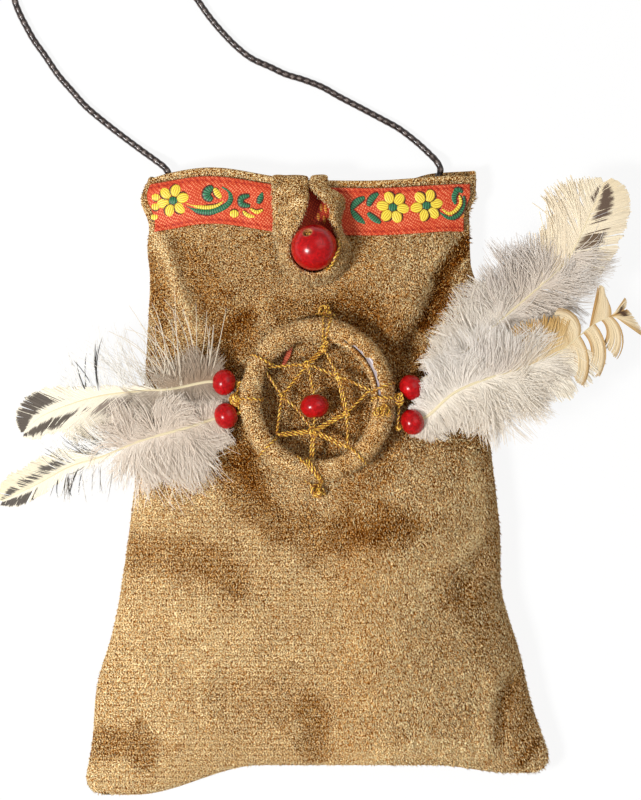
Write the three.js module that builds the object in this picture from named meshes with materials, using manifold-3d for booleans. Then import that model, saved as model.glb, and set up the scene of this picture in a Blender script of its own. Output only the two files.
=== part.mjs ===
// A small plush shoulder pouch with a woven hoop, wooden beads and feathers, lying on its back.
// Millimetres. X runs across the pouch, Y from the bottom seam up to the mouth and Z out of the front.
// The back panel lies on Z = 0, and the origin is the middle of that panel.
import * as THREE from "three";
import { mergeVertices } from "three/addons/utils/BufferGeometryUtils.js";
import Module from "manifold-3d";

const wasm = await Module();
wasm.setup();

// Fits
const CLEARANCE = 0.3; // between pieces that touch

// Pouch
const POUCH_HEIGHT = 187; // bottom seam to rim, on the centre line
const MOUTH_WIDTH = 104;
const BASE_WIDTH = 149;
const CLOTH_THICKNESS = 1.8;
const HEM_EXTRA = 1; // the turned hem makes the front rim thicker
const HEM_DEPTH = 16;
const SEAM_HEIGHT = 6; // height of the side seam above the table
const BODY_PUFF = 16; // how far the front stands above the seam at its fullest
const MOUTH_PUFF = 5.5; // and at the rim
const CORNER_RADIUS = 7;
const BOTTOM_ROUND = 0.32; // share of the height over which the front rises from the bottom seam
const RIM_ROLL = 2.8; // the sides roll out just below the rim
const RIM_ROLL_DEPTH = 11;
const RIM_ROLL_SPREAD = 7;
const LEFT_CORNER_DROP = 9.5;
const RIGHT_CORNER_DROP = 2.5;
const RIM_WAVE_LEFT = 4.3; // the rim stands higher towards the left
const RIM_WAVE_RIGHT = 2;
const BACK_RIM_RISE = 1.8; // the back rim shows above the front rim at the right
const BACK_RIM_DROP = 1; // and hides behind it elsewhere

// Folds of the front panel: routes in plan, height of the fold (minus for a valley) and half its breadth.
const FOLDS = [
  { route: [[46.4, 72.5], [38, 57.5], [28, 39.5]], height: -3.6, breadth: 3.4 },
  { route: [[40, 73], [32.5, 60], [23.5, 44]], height: 1.6, breadth: 4.5 },
  { route: [[-50.6, 78], [-44.2, 57]], height: 1.5, breadth: 2.6 },
  { route: [[-44.5, 75], [-36, 55]], height: -1.6, breadth: 4.5 },
  { route: [[-19, -3], [5, -27], [30, -4]], height: -1.4, breadth: 7 },
  { route: [[-57, -25], [-26, -35]], height: -1.8, breadth: 5 },
  { route: [[0.5, -94], [1, -82]], height: -3, breadth: 4 },
  { route: [[-27, -87], [-8, -86.5]], height: 1.6, breadth: 5 },
  { route: [[15, -87], [50, -88]], height: 1.6, breadth: 5 },
  { route: [[-69, -86], [-54, -90]], height: -2.2, breadth: 4 },
  { route: [[59.5, -53], [70, -86]], height: -2.2, breadth: 3.6 },
  { route: [[58, -21], [52, -38]], height: -1.8, breadth: 3.4 },
];

// Ribbon
const RIBBON_WIDTH = 15.5;
const RIBBON_THICKNESS = 0.6;
const RIBBON_BELOW_RIM = 2.4;
const RIBBON_GAP = 0.45; // the pile of the cloth holds the ribbon off a little
const RIBBON_SPAN = 0.955; // share of the width that the ribbon covers

// Closing loop and button bead
const BUTTON_DIAMETER = 14.7;
const BUTTON_BORE = 3;
const BUTTON_BELOW_RIM = 21.6;
const BUTTON_X = 0;
const BUTTON_AXIS = new THREE.Vector3(-0.29, 0.65, 0.7);
const LOOP_THICKNESS = 1.8;
const LOOP_FLAT_WIDTH = 12; // where the left arm lies flat on the ribbon
const LOOP_COLLAR_WIDTH = 6.6; // where it stands round the bead
const LOOP_NECK_WIDTH = 8.6; // where the left arm meets the bead
const LOOP_COLLAR_LEAN = 60; // degrees from flat
const LOOP_ARM_WIDTH = 8; // the right arm stands on its edge
const LOOP_ARM_LEAN = 64;
const LOOP_TAIL = 13; // length sewn inside the mouth
const LOOP_LEFT_X = -7.2;
const LOOP_RIGHT_X = 4.6;

// Hoop
const HOOP_WIDTH = 49.2;
const HOOP_LENGTH = 52.2;
const HOOP_X = 1.1;
const HOOP_Y = 23.8;
const CORE_DIAMETER = 3.4;
const WRAP_THICKNESS = 1.4;
const WRAP_SLIT = 1.7; // opening of the wrap along the inside of the hoop
const WEB_THREAD = 1.2;
const WEB_BEAD_DIAMETER = 8.6;
const WEB_BEAD_LENGTH = 7;
const WEB_BEAD_BORE = 2.8;

// Side beads and feathers
const SIDE_BEAD_DIAMETER = 8.4;
const SIDE_BEAD_LENGTH = 7.2;
const SIDE_BEAD_BORE = 2.4;
const TIE_THREAD = 1;
const QUILL_DIAMETER = 1.3;
const DOWN_THICKNESS = 2; // downy lower part of a feather
const VANE_THICKNESS = 0.8;
const BARB_SLANT = 0.5; // the barbs lean towards the tip

// Shoulder cord
const CORD_DIAMETER = 2.2;
const COIL_X = -66;
const COIL_Y = 176.5;
const COIL_MEAN_RADIUS = 12.5;
const COIL_BUNDLE_WIDTH = 9.4;
const COIL_BUNDLE_HEIGHT = 7;
const TIE_WIDTH = 3;
const TIE_THICKNESS = 0.7;
const TACK_THREAD = 0.8;

const finish = (color, roughness) => new THREE.MeshStandardMaterial({ color, roughness, metalness: 0 });
const PLUSH = finish("#8d6b3c", 0.95);
const RIBBON = finish("#d8371f", 0.7);
const RED_WOOD = finish("#b0121a", 0.25);
const GOLD_THREAD = finish("#a8761f", 0.6);
const CLEAR_CORE = finish("#b9a99c", 0.4);
const FEATHER = finish("#d8cdbd", 0.8);
const WAXED_CORD = finish("#2b2426", 0.5);

const clamp = THREE.MathUtils.clamp;
const lerp = THREE.MathUtils.lerp;
const smoothstep = THREE.MathUtils.smoothstep;
const bump = (value, centre, spread) => Math.exp(-(((value - centre) / spread) ** 2));
const steps = (count, make) => Array.from({ length: count + 1 }, (_, i) => make(i / count));
const aroundCircle = (count) => Array.from({ length: count }, (_, i) => (i / count) * Math.PI * 2);
const onCircle = (radius, angle) => [radius * Math.cos(angle), radius * Math.sin(angle)];
const circleSection = (radius, sides) => aroundCircle(sides).map((angle) => onCircle(radius, angle));
const degrees = (value) => THREE.MathUtils.degToRad(value);
const flatPoint = ([x, y]) => new THREE.Vector3(x, y, 0);
const UP = new THREE.Vector3(0, 0, 1);

// Turns every triangle round if the closed mesh encloses a negative volume.
function facingOut(geometry) {
  const at = (i) => new THREE.Vector3().fromBufferAttribute(geometry.attributes.position, i);
  const index = Array.from(geometry.index.array);
  let volume = 0;
  for (let i = 0; i < index.length; i += 3) {
    volume += at(index[i]).dot(at(index[i + 1]).cross(at(index[i + 2])));
  }
  if (volume < 0) {
    geometry.setIndex(index.reverse());
  }
  return geometry;
}

// A closed solid through rings of equally many points. An open loft is closed at its two ends
// by strips between point k and its opposite, point n - 1 - k.
function loft(rings, closed = false) {
  const count = rings[0].length;
  const total = rings.length * count;
  const index = [];
  for (let r = 0; r < rings.length - (closed ? 0 : 1); r++) {
    for (let k = 0; k < count; k++) {
      const a = r * count + k;
      const b = r * count + ((k + 1) % count);
      const above = (i) => (i + count) % total;
      index.push(a, b, above(b), a, above(b), above(a));
    }
  }
  const last = total - count;
  for (let k = 0; !closed && k < count / 2 - 1; k++) {
    const far = count - 1 - k;
    index.push(k, far, k + 1, k + 1, far, far - 1);
    index.push(last + k, last + k + 1, last + far, last + k + 1, last + far - 1, last + far);
  }
  const geometry = new THREE.BufferGeometry();
  const flat = rings.flat().flatMap((p) => [p.x, p.y, p.z]);
  geometry.setAttribute("position", new THREE.Float32BufferAttribute(flat, 3));
  geometry.setIndex(index);
  return facingOut(geometry);
}

function toSolid(geometry) {
  const plain = new THREE.BufferGeometry();
  plain.setAttribute("position", geometry.attributes.position.clone());
  plain.setIndex(geometry.index);
  const merged = mergeVertices(plain, 1e-4);
  return new wasm.Manifold(new wasm.Mesh({
    numProp: 3,
    vertProperties: Float32Array.from(merged.attributes.position.array),
    triVerts: Uint32Array.from(merged.index.array),
  }));
}

function fromSolid(solid) {
  const mesh = solid.getMesh();
  const geometry = new THREE.BufferGeometry();
  geometry.setAttribute("position", new THREE.Float32BufferAttribute(mesh.vertProperties, 3));
  geometry.setIndex(Array.from(mesh.triVerts));
  return geometry;
}

const join = (geometries) => fromSolid(geometries.map(toSolid).reduce((whole, next) => whole.add(next)));

// Outline of the pouch: v runs from the bottom seam (0) to the rim (1),
// and u from the left seam (-1) to the right seam (1).
function halfWidth(v) {
  const flare = ((BASE_WIDTH - MOUTH_WIDTH) / 2) * (1 - v) ** 2;
  const roll = RIM_ROLL * bump(v * POUCH_HEIGHT, POUCH_HEIGHT - RIM_ROLL_DEPTH, RIM_ROLL_SPREAD);
  const left = CORNER_RADIUS - Math.min(v * POUCH_HEIGHT, CORNER_RADIUS);
  const cornerInset = CORNER_RADIUS - Math.sqrt(CORNER_RADIUS ** 2 - left ** 2);
  return MOUTH_WIDTH / 2 + flare + roll - cornerInset;
}

function bottomEdge(u) {
  const drop = LEFT_CORNER_DROP * smoothstep(-u, 0.25, 0.85) + RIGHT_CORNER_DROP * smoothstep(u, 0.55, 0.9);
  return -POUCH_HEIGHT / 2 - drop;
}

function frontRim(u) {
  return POUCH_HEIGHT / 2 + RIM_WAVE_LEFT * bump(u, -0.62, 0.36) + RIM_WAVE_RIGHT * smoothstep(u, 0.3, 1);
}

function backRim(u) {
  return frontRim(u) - BACK_RIM_DROP + (BACK_RIM_DROP + BACK_RIM_RISE) * smoothstep(u, 0.45, 0.75);
}

// How full the front is across the pouch and up from the bottom seam: both start upright at the seam.
const crown = (u) => Math.max(0, 1 - Math.abs(u) ** 3) ** 0.58;
const rise = (v) => (1 - (1 - Math.min(v / BOTTOM_ROUND, 1)) ** 2.4) ** 0.55;

function distanceToRoute(x, y, route) {
  const here = flatPoint([x, y]);
  let nearest = Infinity;
  for (let i = 0; i + 1 < route.length; i++) {
    const stretch = new THREE.Line3(flatPoint(route[i]), flatPoint(route[i + 1]));
    const closest = stretch.closestPointToPoint(here, true, new THREE.Vector3());
    nearest = Math.min(nearest, closest.distanceTo(here));
  }
  return nearest;
}

function foldHeight(x, y) {
  return FOLDS.reduce((sum, f) => sum + f.height * bump(distanceToRoute(x, y, f.route), 0, f.breadth), 0);
}

function frontPoint(u, v) {
  const x = u * halfWidth(v);
  const y = lerp(bottomEdge(u), frontRim(u), v);
  const puff = lerp(BODY_PUFF, MOUTH_PUFF, smoothstep(v, 0.3, 1));
  return new THREE.Vector3(x, y, SEAM_HEIGHT + (puff + foldHeight(x, y)) * crown(u) * rise(v));
}

// The back panel is flat on the table and turns up to the seam in a quarter circle.
function backPoint(u, v) {
  const reach = SEAM_HEIGHT - CLEARANCE;
  const y = lerp(bottomEdge(u), backRim(u), v);
  const fromSide = reach - Math.min(halfWidth(v) * (1 - Math.abs(u)), reach);
  const fromBottom = reach - Math.min(y - bottomEdge(u), reach);
  const outward = Math.min(Math.hypot(fromSide, fromBottom), reach);
  return new THREE.Vector3(u * halfWidth(v), y, reach - Math.sqrt(reach ** 2 - outward ** 2));
}

// Unit normal of a panel; at the seam it lies level, so the two panels meet there face to face.
function panelNormal(point, u, v) {
  const delta = 0.0015;
  const along = point(Math.min(u + delta, 1), v).sub(point(Math.max(u - delta, -1), v));
  const up = point(u, Math.min(v + delta, 1)).sub(point(u, Math.max(v - delta, 0)));
  const normal = along.cross(up).normalize();
  const atSide = Math.abs(u) === 1;
  if (atSide && v === 0) {
    return new THREE.Vector3(Math.sign(u), -1, 0).normalize();
  }
  return atSide || v === 0 ? normal.setZ(0).normalize() : normal;
}

// A cloth sheet of one panel, from the surface itself to a depth inside it,
// and no further than the seam's height.
function panelSheet(point, facing, columns, rows, depth) {
  const seam = point(1, 0.5).z;
  const acrossList = steps(columns, (t) => Math.sin((t - 0.5) * Math.PI));
  const upList = steps(rows, (t) => 0.45 * (1 - Math.cos((t * Math.PI) / 2)) + 0.55 * t);
  acrossList[0] = -1;
  acrossList[columns] = 1;
  upList[rows] = 1;
  return loft(upList.map((v) => {
    const face = acrossList.map((u) => point(u, v));
    const inside = acrossList.map((u, i) => {
      const normal = panelNormal(point, u, v).multiplyScalar(facing);
      if (Math.abs(u) === 1 || v === 0) {
        normal.multiplyScalar(Math.sign(normal.dot(new THREE.Vector3(u, v === 0 ? -1 : 0, 0))));
      }
      const within = face[i].clone().addScaledVector(normal, -depth(v));
      return within.setZ(facing * Math.max(facing * within.z, facing * seam));
    });
    return [...face, ...inside.reverse()];
  }));
}

const hemmed = (v) => CLOTH_THICKNESS + HEM_EXTRA * smoothstep(v * POUCH_HEIGHT, POUCH_HEIGHT - HEM_DEPTH,
  POUCH_HEIGHT - HEM_DEPTH / 2);
const frontPanel = panelSheet(frontPoint, 1, 20, 22, hemmed);
const backPanel = panelSheet(backPoint, -1, 16, 12, () => CLOTH_THICKNESS);

// u and v of a place in plan on the front, and the front's height there.
function onFront(x, y) {
  let u = 0;
  let v = 0.5;
  for (let i = 0; i < 14; i++) {
    u = clamp(x / halfWidth(v), -1, 1);
    v = clamp((y - bottomEdge(u)) / (frontRim(u) - bottomEdge(u)), 0, 1);
  }
  return { u, v };
}

function frontHeight(x, y) {
  const { u, v } = onFront(x, y);
  return frontPoint(u, v).z;
}

// Highest place of the front within a reach of a place in plan.
function highestUnder(x, y, reach) {
  const around = circleSection(reach, 8).map(([dx, dy]) => frontHeight(x + dx, y + dy));
  return Math.max(frontHeight(x, y), ...around);
}

// Height of the front and of the ribbon where it covers the front.
function coveredHeight(x, y) {
  const { u } = onFront(x, y);
  const belowRim = frontRim(u) - y;
  const onRibbon = belowRim < RIBBON_BELOW_RIM + RIBBON_WIDTH + 1;
  return frontHeight(x, y) + (onRibbon ? RIBBON_GAP + RIBBON_THICKNESS : 0);
}

// Ribbon: a thin band that follows the front just below the rim.
const ribbonBand = loft(steps(2, (t) => {
  const face = steps(24, (s) => {
    const u = RIBBON_SPAN * Math.sin((s - 0.5) * Math.PI * 0.96) / Math.sin(Math.PI * 0.48);
    const span = frontRim(u) - bottomEdge(u);
    const v = 1 - (RIBBON_BELOW_RIM + RIBBON_WIDTH * (1 - t)) / span;
    return { foot: frontPoint(u, v), normal: panelNormal(frontPoint, u, v) };
  });
  const raised = (amount) => face.map(({ foot, normal }) => foot.clone().addScaledVector(normal, amount));
  return [...raised(RIBBON_GAP + RIBBON_THICKNESS), ...raised(RIBBON_GAP).reverse()];
}));

// Beads: turned balls with a straight bore; the profile is closed, from the bore's foot round the outside.
function bead(diameter, length, bore, segments, rows) {
  const half = length / 2;
  const reach = Math.acos(bore / diameter);
  const outside = steps(rows, (t) => {
    const angle = lerp(-reach, reach, t);
    return new THREE.Vector2((diameter / 2) * Math.cos(angle), half * Math.sin(angle) / Math.sin(reach));
  });
  const geometry = new THREE.LatheGeometry([...outside, outside[0].clone()], segments);
  return fromSolid(toSolid(facingOut(geometry)));
}

function aimed(geometry, direction) {
  const lengthwise = new THREE.Vector3(0, 1, 0);
  const turn = new THREE.Quaternion().setFromUnitVectors(lengthwise, direction.clone().normalize());
  return geometry.applyQuaternion(turn);
}

// Threads and cords: a round section carried along a curve, a straight run of thread and a round knot.
function tube(points, radius, sides, count) {
  const outline = new THREE.Shape(circleSection(radius, sides).map(([x, y]) => new THREE.Vector2(x, y)));
  const path = new THREE.CatmullRomCurve3(points, false, "centripetal");
  return new THREE.ExtrudeGeometry(outline, { steps: count, bevelEnabled: false, extrudePath: path });
}

function run(from, to, radius) {
  const rod = new THREE.CylinderGeometry(radius, radius, from.distanceTo(to), 5);
  return aimed(rod, to.clone().sub(from)).translate(...from.clone().lerp(to, 0.5).toArray());
}

function knot(place, radius) {
  return new THREE.SphereGeometry(radius, 6, 3).translate(place.x, place.y, place.z);
}

// A ring of thread round a bar: the circle lies in the plane of the two given directions.
function threadRing(centre, first, second, ringRadius, threadRadius) {
  const rings = aroundCircle(10).map((angle) => {
    const outward = first.clone().multiplyScalar(Math.cos(angle)).addScaledVector(second, Math.sin(angle));
    const middle = centre.clone().addScaledVector(outward, ringRadius);
    const axis = first.clone().cross(second).normalize();
    return circleSection(threadRadius, 5)
      .map(([out, side]) => middle.clone().addScaledVector(outward, out).addScaledVector(axis, side));
  });
  return loft(rings, true);
}

// Button bead, sewn through its slanting bore, and the thread that holds it.
const buttonRadius = BUTTON_DIAMETER / 2;
const buttonPlan = { x: BUTTON_X, y: frontRim(0) - BUTTON_BELOW_RIM };
const buttonSeat = highestUnder(buttonPlan.x, buttonPlan.y, BUTTON_BORE);
const buttonCentre = new THREE.Vector3(
  buttonPlan.x, buttonPlan.y, buttonSeat + 2 * CLEARANCE + buttonRadius);
const buttonAxis = BUTTON_AXIS.clone().normalize();
const buttonLength = Math.sqrt(BUTTON_DIAMETER ** 2 - BUTTON_BORE ** 2);
const buttonBead = aimed(bead(BUTTON_DIAMETER, buttonLength, BUTTON_BORE, 16, 9), buttonAxis)
  .translate(...buttonCentre.toArray());
const stitchRadius = WEB_THREAD / 2;
const stitchTop = buttonCentre.clone().addScaledVector(buttonAxis, buttonLength / 2 - BUTTON_BORE / 2);
const stitchBend = buttonCentre.clone()
  .addScaledVector(buttonAxis, -buttonRadius - stitchRadius - CLEARANCE);
const stitchFoot = stitchBend.clone().setZ(frontHeight(stitchBend.x, stitchBend.y) + CLEARANCE);
const buttonStitch = join([
  run(stitchTop, stitchBend, stitchRadius),
  run(stitchBend, stitchFoot, stitchRadius),
  knot(stitchBend, stitchRadius * 1.2),
  knot(stitchTop, BUTTON_BORE / 2 - CLEARANCE),
]);

// Closing loop: a plush strip swept from one sewn tail over the rim, round the bead and back to the
// other tail. Each station has its place in plan, the strip's width there and its lean from flat;
// the inner edge rises.
const loopHalf = LOOP_THICKNESS / 2;
const rimY = frontRim(0);
const innerFloor = CLOTH_THICKNESS + CLEARANCE + loopHalf;
const rimTop = frontPoint(0, 1).z;
const collarLean = degrees(LOOP_COLLAR_LEAN);
const armLean = degrees(LOOP_ARM_LEAN);
const collarRadius = buttonRadius + 3 * CLEARANCE + (LOOP_COLLAR_WIDTH / 2) * Math.cos(collarLean);

function overRim(x, width, lean, ascending) {
  const stations = [
    { x, y: rimY - LOOP_TAIL, z: innerFloor, width, lean: 0 },
    { x, y: rimY - LOOP_TAIL / 2, z: innerFloor, width, lean: 0 },
    { x, y: rimY + 2, z: innerFloor + 0.6, width, lean: 0 },
    { x, y: rimY + 5, z: lerp(innerFloor, rimTop, 0.55), width, lean: lean * 0.3 },
    { x, y: rimY + 4, z: rimTop + 1.4, width, lean: lean * 0.6 },
    { x, y: rimY + 0.5, z: rimTop + 3 + (width / 2) * Math.sin(lean * 0.8), width, lean: lean * 0.8 },
  ];
  return ascending ? stations : stations.reverse();
}

function onCollar(angle, lean) {
  const x = buttonCentre.x + collarRadius * Math.cos(angle);
  const y = buttonCentre.y + collarRadius * Math.sin(angle);
  return { x, y, width: LOOP_COLLAR_WIDTH, lean };
}

// Place between the rim (0) and the bead's middle (1).
const belowRim = (share) => lerp(rimY, buttonCentre.y, share);
const loopStations = [
  ...overRim(LOOP_LEFT_X, LOOP_FLAT_WIDTH, 0, true),
  { x: LOOP_LEFT_X - 0.3, y: belowRim(0.23), width: LOOP_FLAT_WIDTH, lean: 0 },
  {
    x: LOOP_LEFT_X - 1,
    y: belowRim(0.51),
    width: lerp(LOOP_FLAT_WIDTH, LOOP_COLLAR_WIDTH, 0.28),
    lean: degrees(14),
  },
  { x: buttonCentre.x - collarRadius, y: belowRim(0.787), width: LOOP_NECK_WIDTH, lean: degrees(42) },
  ...[180, 210, 240, 270, 300, 330, 360].map((angle) => onCollar(degrees(angle), collarLean)),
  { x: buttonCentre.x + collarRadius, y: belowRim(0.764), width: LOOP_COLLAR_WIDTH, lean: armLean },
  {
    x: lerp(LOOP_RIGHT_X, buttonCentre.x + collarRadius, 0.7),
    y: belowRim(0.463),
    width: LOOP_ARM_WIDTH,
    lean: armLean,
  },
  { x: LOOP_RIGHT_X + 1.2, y: belowRim(0.208), width: LOOP_ARM_WIDTH, lean: armLean },
  ...overRim(LOOP_RIGHT_X, LOOP_ARM_WIDTH, armLean, false),
];

// Level direction across the strip at station i, pointing away from the inside of the loop.
function stripOutward(i) {
  const before = loopStations[Math.max(i - 1, 0)];
  const after = loopStations[Math.min(i + 1, loopStations.length - 1)];
  const heading = new THREE.Vector3(after.x - before.x, after.y - before.y, 0);
  const overTheRim = heading.length() < 3 || i < 6 || i > loopStations.length - 7;
  if (overTheRim) {
    return new THREE.Vector3(i < loopStations.length / 2 ? -1 : 1, 0, 0);
  }
  return new THREE.Vector3(heading.y, -heading.x, 0).normalize();
}

// Section of the strip with its folded edges rounded, in half widths and half thicknesses.
const LOOP_SECTION = [
  [-1, 0.45], [-0.75, 1], [0.75, 1], [1, 0.45],
  [1, -0.45], [0.75, -1], [-0.75, -1], [-1, -0.45],
];

const closingLoop = (() => {
  const sections = loopStations.map((station, i) => {
    const outward = stripOutward(i);
    const half = station.width / 2;
    const across = outward.clone().multiplyScalar(Math.cos(station.lean)).setZ(-Math.sin(station.lean));
    let middle = station.z;
    if (middle === undefined) {
      const under = steps(4, (t) => lerp(-half, half, t) * Math.cos(station.lean))
        .map((d) => coveredHeight(station.x + outward.x * d, station.y + outward.y * d));
      const lift = half * Math.sin(station.lean) + loopHalf * Math.cos(station.lean);
      middle = Math.max(...under) + 2 * CLEARANCE + lift;
    }
    return { centre: new THREE.Vector3(station.x, station.y, middle), across, half };
  });
  const centreLine = new THREE.CatmullRomCurve3(sections.map((s) => s.centre));
  const acrossLine = new THREE.CatmullRomCurve3(sections.map((s) => s.across));
  const halfLine = new THREE.CatmullRomCurve3(sections.map((s) => new THREE.Vector3(s.half, 0, 0)));
  return loft(steps(36, (t) => {
    const centre = centreLine.getPoint(t);
    const across = acrossLine.getPoint(t).normalize();
    const half = halfLine.getPoint(t).x;
    const normal = across.clone().cross(centreLine.getTangent(t)).normalize();
    return LOOP_SECTION.map(([w, n]) => centre.clone()
      .addScaledVector(across, w * half)
      .addScaledVector(normal, n * loopHalf));
  }));
})();

// Hoop, in its own plane: a stiff ring, its plush wrap that is open along the inside, and the thread web.
const coreRadius = CORE_DIAMETER / 2;
const wrapInner = coreRadius + CLEARANCE;
const wrapOuter = wrapInner + WRAP_THICKNESS;
const hoopA = HOOP_WIDTH / 2 - wrapOuter;
const hoopB = HOOP_LENGTH / 2 - wrapOuter;
const webRadius = WEB_THREAD / 2;
const turnRadius = wrapOuter + CLEARANCE + webRadius;
const hoopPoint = (angle) => new THREE.Vector3(hoopA * Math.cos(angle), hoopB * Math.sin(angle), 0);
const hoopOutward = (angle) => flatPoint([Math.cos(angle) / hoopA, Math.sin(angle) / hoopB]).normalize();

function hoopLoft(segments, section) {
  return loft(aroundCircle(segments).map((angle) => section.map(([out, up]) =>
    hoopPoint(angle).addScaledVector(hoopOutward(angle), out).addScaledVector(UP, up))), true);
}

const slitAngle = (radius) => Math.asin(WRAP_SLIT / 2 / radius);
const arcSection = (radius, sides) => steps(sides, (t) => {
  const angle = lerp(-Math.PI + slitAngle(radius), Math.PI - slitAngle(radius), t);
  return onCircle(radius, angle);
});
const hoopCore = hoopLoft(34, circleSection(coreRadius, 5));
const hoopWrap = hoopLoft(34, [...arcSection(wrapOuter, 8), ...arcSection(wrapInner, 5).reverse()]);

// Thread web: six turns round the hoop, five inner crossings and the bead strung on the upright run.
const WEB_TURNS = { top: 82, right: 12, rightLow: -55, bottom: -95, leftLow: 220, leftHigh: 150 };
// Crossings and the bead's place are shares of the hoop's half width and half length.
const WEB_CROSSINGS = {
  high: [-0.16, 0.515],
  right: [0.34, 0.33],
  low: [0.505, -0.163],
  bottom: [-0.071, -0.458],
  left: [-0.566, 0.035],
};
const WEB_BEAD_PLACE = [-0.0425, -0.097];
const WEB_RUNS = [
  ["top", "high"], ["top", "right"], ["right", "rightTurn"], ["rightTurn", "low"],
  ["high", "leftHigh"], ["high", "right"], ["right", "low"], ["leftHigh", "left"],
  ["left", "leftLow"], ["left", "bottom"], ["leftLow", "bottom"], ["bottom", "bottomTurn"],
  ["bottom", "low"], ["low", "rightLow"], ["bottom", "rightLow"],
  ["high", "bead"], ["bead", "bottom"],
];
const inHoop = ([x, y]) => flatPoint([x * hoopA, y * hoopB]);
const turnPoint = (angle) => hoopPoint(degrees(angle))
  .addScaledVector(hoopOutward(degrees(angle)), -turnRadius);
const webPlaces = {
  top: turnPoint(WEB_TURNS.top),
  rightTurn: turnPoint(WEB_TURNS.right),
  rightLow: turnPoint(WEB_TURNS.rightLow),
  bottomTurn: turnPoint(WEB_TURNS.bottom),
  leftLow: turnPoint(WEB_TURNS.leftLow),
  leftHigh: turnPoint(WEB_TURNS.leftHigh),
  high: inHoop(WEB_CROSSINGS.high),
  right: inHoop(WEB_CROSSINGS.right),
  low: inHoop(WEB_CROSSINGS.low),
  bottom: inHoop(WEB_CROSSINGS.bottom),
  left: inHoop(WEB_CROSSINGS.left),
  bead: inHoop(WEB_BEAD_PLACE),
};
const webKnots = Object.keys(WEB_CROSSINGS).map((name) => knot(webPlaces[name], webRadius * 1.4));
const webTurns = Object.values(WEB_TURNS).map((angle) =>
  threadRing(hoopPoint(degrees(angle)), hoopOutward(degrees(angle)), UP, turnRadius, webRadius));
const webThread = join([
  ...WEB_RUNS.map(([from, to]) => run(webPlaces[from], webPlaces[to], webRadius)),
  ...webKnots,
  ...webTurns,
]);
const strungDirection = webPlaces.high.clone().sub(webPlaces.bottom);
const webBead = aimed(bead(WEB_BEAD_DIAMETER, WEB_BEAD_LENGTH, WEB_BEAD_BORE, 12, 6), strungDirection)
  .translate(...webPlaces.bead.toArray());

// The hoop lies on the slope of the front: its tilt follows the front along the hoop's length,
// and its height leaves room for the thread turns underneath.
const hoopTop = frontHeight(HOOP_X, HOOP_Y + hoopB);
const hoopFoot = frontHeight(HOOP_X, HOOP_Y - hoopB);
const hoopTilt = Math.atan2(hoopTop - hoopFoot, 2 * hoopB);
const hoopDepth = turnRadius + webRadius + CLEARANCE;
const hoopSeat = Math.max(...steps(48, (t) => {
  const rim = hoopPoint(t * 2 * Math.PI);
  const y = HOOP_Y + rim.y * Math.cos(hoopTilt);
  return frontHeight(HOOP_X + rim.x, y) - rim.y * Math.sin(hoopTilt);
})) + hoopDepth / Math.cos(hoopTilt);
const hoopPlace = (local) => local.clone().applyAxisAngle(new THREE.Vector3(1, 0, 0), hoopTilt)
  .add(new THREE.Vector3(HOOP_X, HOOP_Y, hoopSeat));

// Stitches that sew the hoop to the front: an arch of thread over the wrap at the top and the bottom.
function hoopStitch(angle) {
  const bar = hoopPoint(degrees(angle));
  const outward = hoopOutward(degrees(angle));
  const arch = steps(6, (t) => {
    const lift = lerp(degrees(-20), degrees(200), t);
    return hoopPlace(bar.clone().addScaledVector(outward, turnRadius * Math.cos(lift))
      .addScaledVector(UP, turnRadius * Math.sin(lift)));
  });
  const down = (p) => p.clone().setZ(frontHeight(p.x, p.y) + CLEARANCE);
  return tube([down(arch[0]), ...arch, down(arch[arch.length - 1])], webRadius, 6, 10);
}
const hoopStitchTop = hoopStitch(WEB_TURNS.top + 6);
const hoopStitchBottom = hoopStitch(WEB_TURNS.bottom + 7);

// Side beads: each lies on the front beside the hoop, its bore pointing along its feather. Its place is
// the gap between the bead and the hoop's outer edge, and the height over the hoop's middle.
const SIDES = {
  left_upper: { sign: -1, gap: 0.9, up: 5.4, heading: [-1, 0.04] },
  left_lower: { sign: -1, gap: 0.3, up: -5.2, heading: [-0.95, -0.26] },
  right_upper: { sign: 1, gap: 1.1, up: 3.8, heading: [0.82, 0.57] },
  right_lower: { sign: 1, gap: 1.4, up: -7.2, heading: [0.93, 0.36] },
};
const sideRadius = SIDE_BEAD_DIAMETER / 2;
for (const side of Object.values(SIDES)) {
  const x = HOOP_X + side.sign * (HOOP_WIDTH / 2 + side.gap + sideRadius);
  const y = HOOP_Y + side.up;
  const seat = highestUnder(x, y, sideRadius * 0.6);
  side.centre = new THREE.Vector3(x, y, seat + CLEARANCE + sideRadius);
  side.axis = flatPoint(side.heading).normalize();
}

function sideBead(side) {
  const ball = bead(SIDE_BEAD_DIAMETER, SIDE_BEAD_LENGTH, SIDE_BEAD_BORE, 12, 6);
  return aimed(ball, side.axis).translate(...side.centre.toArray());
}

// Side ties: a turn round the hoop, a knot outside it and a leg of thread into the bore of each bead.
function sideTie(angle, upper, lower) {
  const tieRadius = TIE_THREAD / 2;
  const ringRadius = wrapOuter + CLEARANCE + tieRadius;
  const bar = hoopPoint(angle);
  const outward = hoopOutward(angle);
  const ring = threadRing(bar, outward, UP, ringRadius, tieRadius).applyMatrix4(
    new THREE.Matrix4().makeRotationX(hoopTilt).setPosition(HOOP_X, HOOP_Y, hoopSeat));
  const middle = hoopPlace(bar.clone().addScaledVector(outward, ringRadius + 2 * CLEARANCE));
  const leg = (side) => {
    const outside = SIDE_BEAD_LENGTH / 2 + 2 * CLEARANCE + tieRadius;
    const mouth = side.centre.clone().addScaledVector(side.axis, -outside);
    const inside = side.centre.clone().addScaledVector(side.axis, -SIDE_BEAD_LENGTH / 4);
    return [run(middle, mouth, tieRadius), run(mouth, inside, tieRadius), knot(mouth, tieRadius * 1.2)];
  };
  return join([ring, knot(middle, tieRadius * 1.8), ...leg(upper), ...leg(lower)]);
}
const leftTie = sideTie(Math.PI, SIDES.left_upper, SIDES.left_lower);
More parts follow.
